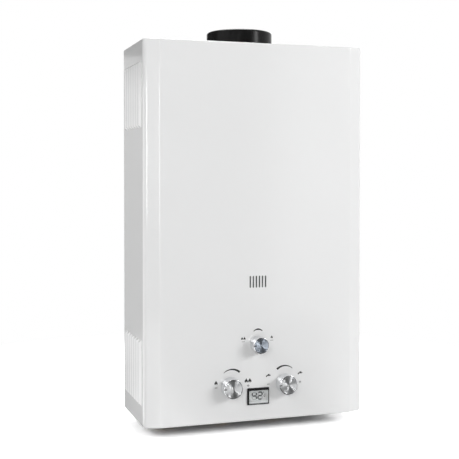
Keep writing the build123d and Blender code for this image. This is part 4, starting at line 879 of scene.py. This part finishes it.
def round_box(left, right, low, high, corner, depth, steps=4):
    """Ring of points round an upright rectangle with rounded corners, at a depth."""
    middles = ((right - corner, high - corner), (left + corner, high - corner),
               (left + corner, low + corner), (right - corner, low + corner))
    ring = []
    for quarter, (middle_x, middle_z) in enumerate(middles):
        for step in range(steps + 1):
            angle = math.radians(90 * quarter + 90 * step / steps)
            ring.append((middle_x + corner * math.cos(angle), depth, middle_z + corner * math.sin(angle)))
    return ring


def frame_ring(inset, depth):
    """Outer ring of the display frame."""
    return round_box(frame_left + inset, frame_right - inset, frame_low + inset, frame_high - inset,
                     frame_corner, depth)


def window_ring(outset, depth):
    """Ring round the window of the display frame."""
    return round_box(window_left - outset, window_right + outset, window_low - outset, window_high + outset,
                     window_corner, depth)


shape = bmesh.new()
loft(shape, [frame_ring(0, frame_back), frame_ring(0, frame_front + frame_edge),
             frame_ring(edge_break, frame_front + edge_break), frame_ring(frame_edge, frame_front),
             window_ring(frame_edge, frame_front), window_ring(edge_break, frame_front + edge_break),
             window_ring(0, frame_front + frame_edge), window_ring(0, frame_back)], closed=True)
display_frame = add_piece("display_frame", shape, "case", frame_gloss)
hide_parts("display_bezel")

# Display tray: pale plastic with sloped walls, moulded in one piece. It stands behind the frame and leads
# from the window to the crystal panel at its floor.
tray_plastic = moulded("tray_plastic", dark=(0.66, 0.67, 0.67, 1), light=(0.72, 0.73, 0.73, 1),
                       roughness=(0.4, 0.5), grain=900.0)
panel_left, panel_right = -0.0172, 0.0176
panel_low, panel_high = -0.3158, -0.2945
panel_front = -0.1745
panel_back = -0.1700
tray_lip = 0.0008

panel_rim = (panel_left, panel_right, panel_low, panel_high, window_corner)
shape = bmesh.new()
loft(shape, [window_ring(tray_lip, frame_back), window_ring(0, frame_back),
             round_box(*panel_rim, panel_front), round_box(*panel_rim, panel_back),
             window_ring(tray_lip, panel_back)], closed=True)
add_piece("display_tray", shape, "case", tray_plastic)

# Crystal panel: two sheets of glass with liquid crystal between them and a grey mirror film behind. It lies
# at the floor of the tray and looks a smooth pale grey.
crystal = moulded("crystal_grey", dark=(0.58, 0.59, 0.59, 1), light=(0.62, 0.63, 0.63, 1),
                  roughness=(0.3, 0.38), grain=300.0)
panel_gap = 0.0002

inner_rim = (panel_left + panel_gap, panel_right - panel_gap, panel_low + panel_gap, panel_high - panel_gap,
             window_corner)
shape = bmesh.new()
capped(shape, [round_box(*inner_rim, panel_back), round_box(*inner_rim, panel_front)])
panel = add_piece("crystal_panel", shape, "case", crystal)
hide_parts("display_panel")

# Figures on the panel: seven-bar numerals and a degree dot, etched into the glass as electrodes. Bars that
# are on turn dark, and those that are off stay just visible.
dark_crystal = moulded("dark_crystal", dark=(0.02, 0.022, 0.025, 1), light=(0.045, 0.047, 0.05, 1),
                       roughness=(0.3, 0.4), grain=600.0)
pale_crystal = moulded("pale_crystal", dark=(0.40, 0.41, 0.41, 1), light=(0.44, 0.45, 0.45, 1),
                       roughness=(0.3, 0.4), grain=600.0)
figure_proud = 0.00006
bar_gap = 0.00022
digit_low = -0.3116
digit_width = 0.0080
digit_height = 0.0130
digit_thick = 0.0025
degree_x, degree_z = 0.0122, -0.2990
degree_radius = 0.0009
degree_sides = 16
bars_of = {"2": "abdeg", "4": "bcfg", "c": "deg"}


def plate(shape, outline, back, front):
    """Thin upright plate with the given x and z outline, closed all round."""
    capped(shape, [[(x, back, z) for x, z in outline], [(x, front, z) for x, z in outline]])


def figure(bars_on, bars_off, sign, left, low, width, height, thick):
    """Numeral of seven bars, each a long hexagon, sorted into the bars that are on and off."""
    half = thick / 2
    right = left + width
    high = low + height
    middle = low + height / 2
    runs = {"a": (left, high, right, high), "g": (left, middle, right, middle), "d": (left, low, right, low),
            "f": (left, middle, left, high), "b": (right, middle, right, high),
            "e": (left, low, left, middle), "c": (right, low, right, middle)}
    for bar, (x0, z0, x1, z1) in runs.items():
        along = Vector((x1 - x0, z1 - z0)).normalized()
        across = Vector((-along.y, along.x)) * half
        near = Vector((x0, z0)) + along * bar_gap
        far = Vector((x1, z1)) - along * bar_gap
        outline = [near, near + along * half + across, far - along * half + across, far,
                   far - along * half - across, near + along * half - across]
        target = bars_on if bar in bars_of[sign] else bars_off
        plate(target, [(point.x, point.y) for point in outline], panel_front, panel_front - figure_proud)


bars_on = bmesh.new()
bars_off = bmesh.new()
for sign, left in (("4", -0.0100), ("2", 0.0014)):
    figure(bars_on, bars_off, sign, left, digit_low, digit_width, digit_height, digit_thick)
figure(bars_on, bars_off, "c", left=0.0129, low=-0.3074, width=0.0032, height=0.0060, thick=0.0011)
degree = []
for index in range(degree_sides):
    angle = 2 * math.pi * index / degree_sides
    degree.append((degree_x + degree_radius * math.cos(angle), degree_z + degree_radius * math.sin(angle)))
plate(bars_on, degree, panel_front, panel_front - figure_proud)
add_piece("lit_figures", bars_on, "case", dark_crystal)
add_piece("unlit_figures", bars_off, "case", pale_crystal)

# Window: a thin plate of clear acrylic, cut to the opening of the frame. It is held there in front of the
# tray and keeps out water.
window_front = -0.1788
window_back = -0.1782
window_gap = 0.0001

acrylic, tree, shader = new_finish("clear_acrylic")
tint = noise_over(tree, grain=60.0, detail=2.0)
tree.links.new(tone_between(tree, tint, dark=(0.95, 0.96, 0.96, 1), light=(0.98, 0.98, 0.98, 1)),
               shader.inputs["Base Color"])
haze = noise_over(tree, grain=90.0, detail=2.0)
tree.links.new(span_of(tree, haze, least=0.01, most=0.03), shader.inputs["Roughness"])
shader.inputs["Transmission Weight"].default_value = 1.0
shader.inputs["IOR"].default_value = 1.2
shape = bmesh.new()
capped(shape, [window_ring(-window_gap, window_back), window_ring(-window_gap, window_front)])
window = add_piece("display_window", shape, "case", acrylic)
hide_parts("display_lens")

# Printed marks: ink screened on the paint and baked with it. Arcs show which way each knob grows, flames
# stand for gas and taps for water, with a plain minus or plus under each.
ink = moulded("screen_ink", dark=(0.012, 0.012, 0.012, 1), light=(0.03, 0.03, 0.03, 1),
              roughness=(0.4, 0.55), grain=900.0)
grey_ink = moulded("grey_ink", dark=(0.2, 0.2, 0.2, 1), light=(0.25, 0.25, 0.25, 1),
                   roughness=(0.4, 0.55), grain=900.0)
paint_face = -0.1780
ink_face = -0.17812
arc_steps = 28
near_share, far_share = 0.75, 0.25
sign_level = -0.2840
sign_width = 0.0050
flame_outline = [(-0.30, 0.0), (-0.48, 0.15), (-0.50, 0.36), (-0.36, 0.58), (-0.15, 0.76), (0.02, 1.0),
                 (0.09, 0.84), (0.23, 0.66), (0.40, 0.50), (0.50, 0.31), (0.47, 0.13), (0.30, 0.0),
                 (0.16, 0.02), (0.14, 0.14), (0.0, 0.28), (-0.14, 0.14), (-0.16, 0.02)]
tap_outline = [(-0.50, 0.0), (-0.30, 0.0), (-0.28, 0.22), (-0.18, 0.34), (0.5, 0.34), (0.5, 0.70),
               (0.20, 0.70), (0.16, 0.84), (0.34, 0.86), (0.34, 1.0), (-0.18, 1.0), (-0.18, 0.86),
               (0.0, 0.84), (-0.04, 0.70), (-0.22, 0.68), (-0.40, 0.54), (-0.49, 0.32)]
plus_outline = [(-0.5, 0.38), (-0.12, 0.38), (-0.12, 0.0), (0.12, 0.0), (0.12, 0.38), (0.5, 0.38),
                (0.5, 0.62), (0.12, 0.62), (0.12, 1.0), (-0.12, 1.0), (-0.12, 0.62), (-0.5, 0.62)]
bar_outline = [(-0.5, 0), (0.5, 0), (0.5, 1), (-0.5, 1)]


def smoothed(outline, rounds):
    """Closed outline with its corners cut, each round at a quarter of every side."""
    for _ in range(rounds):
        cut = []
        for index, (x, z) in enumerate(outline):
            next_x, next_z = outline[(index + 1) % len(outline)]
            cut.append((near_share * x + far_share * next_x, near_share * z + far_share * next_z))
            cut.append((far_share * x + near_share * next_x, far_share * z + near_share * next_z))
        outline = cut
    return outline


def print_arc(shape, x, top, radius, chord, widths):
    """Arc over a knob, with its widths at the left end, in the middle and at the right end."""
    left_width, middle_width, right_width = widths
    half_angle = math.asin(chord / 2 / radius)
    outer = []
    inner = []
    for step in range(arc_steps + 1):
        share = 2 * step / arc_steps - 1
        end_width = right_width if share > 0 else left_width
        width = middle_width + (end_width - middle_width) * abs(share)
        angle = share * half_angle
        for side, reach in ((outer, radius + width / 2), (inner, radius - width / 2)):
            side.append((x + reach * math.sin(angle), top - radius + reach * math.cos(angle)))
    plate(shape, outer + inner[::-1], paint_face, ink_face)


def print_shape(shape, outline, x, z, width, height):
    """Outline of unit size printed about a middle at the given width and height."""
    plate(shape, [(x + width * u, z + height * (v - 0.5)) for u, v in outline], paint_face, ink_face)


flame = smoothed(flame_outline, rounds=2)
tap = smoothed(tap_outline, rounds=1)
black = bmesh.new()
print_arc(black, x=0.0, top=-0.1800, radius=0.012, chord=0.0172, widths=(0.0010, 0.0030, 0.0014))
print_arc(black, x=-0.0514, top=-0.2518, radius=0.023, chord=0.031, widths=(0.0008, 0.0024, 0.0040))
print_arc(black, x=0.0534, top=-0.2512, radius=0.023, chord=0.031, widths=(0.0040, 0.0024, 0.0008))
print_shape(black, flame, x=-0.0817, z=-0.2744, width=0.0062, height=0.0080)
for flame_x in (-0.0230, -0.0160):
    print_shape(black, flame, x=flame_x, z=-0.2740, width=0.0064, height=0.0084)
for flame_x in (-0.0312, -0.0265):
    print_shape(black, flame, x=flame_x, z=-0.1956, width=0.0042, height=0.0056)
print_shape(black, flame, x=0.0273, z=-0.1957, width=0.0044, height=0.0058)
for tap_x, tap_z in ((0.0205, -0.2678), (0.0844, -0.2670)):
    print_shape(black, tap, x=tap_x, z=tap_z, width=0.0092, height=0.0054)
add_piece("black_marks", black, "case", ink)
grey = bmesh.new()
for minus_x in (-0.0817, 0.0205):
    print_shape(grey, bar_outline, x=minus_x, z=sign_level, width=sign_width, height=0.0012)
for plus_x in (-0.0194, 0.0844):
    print_shape(grey, plus_outline, x=plus_x, z=sign_level, width=sign_width, height=sign_width)
for season_x in (-0.0289, 0.0273):
    print_shape(grey, bar_outline, x=season_x, z=-0.2020, width=0.0060, height=0.0009)
add_piece("grey_marks", grey, "case", grey_ink)
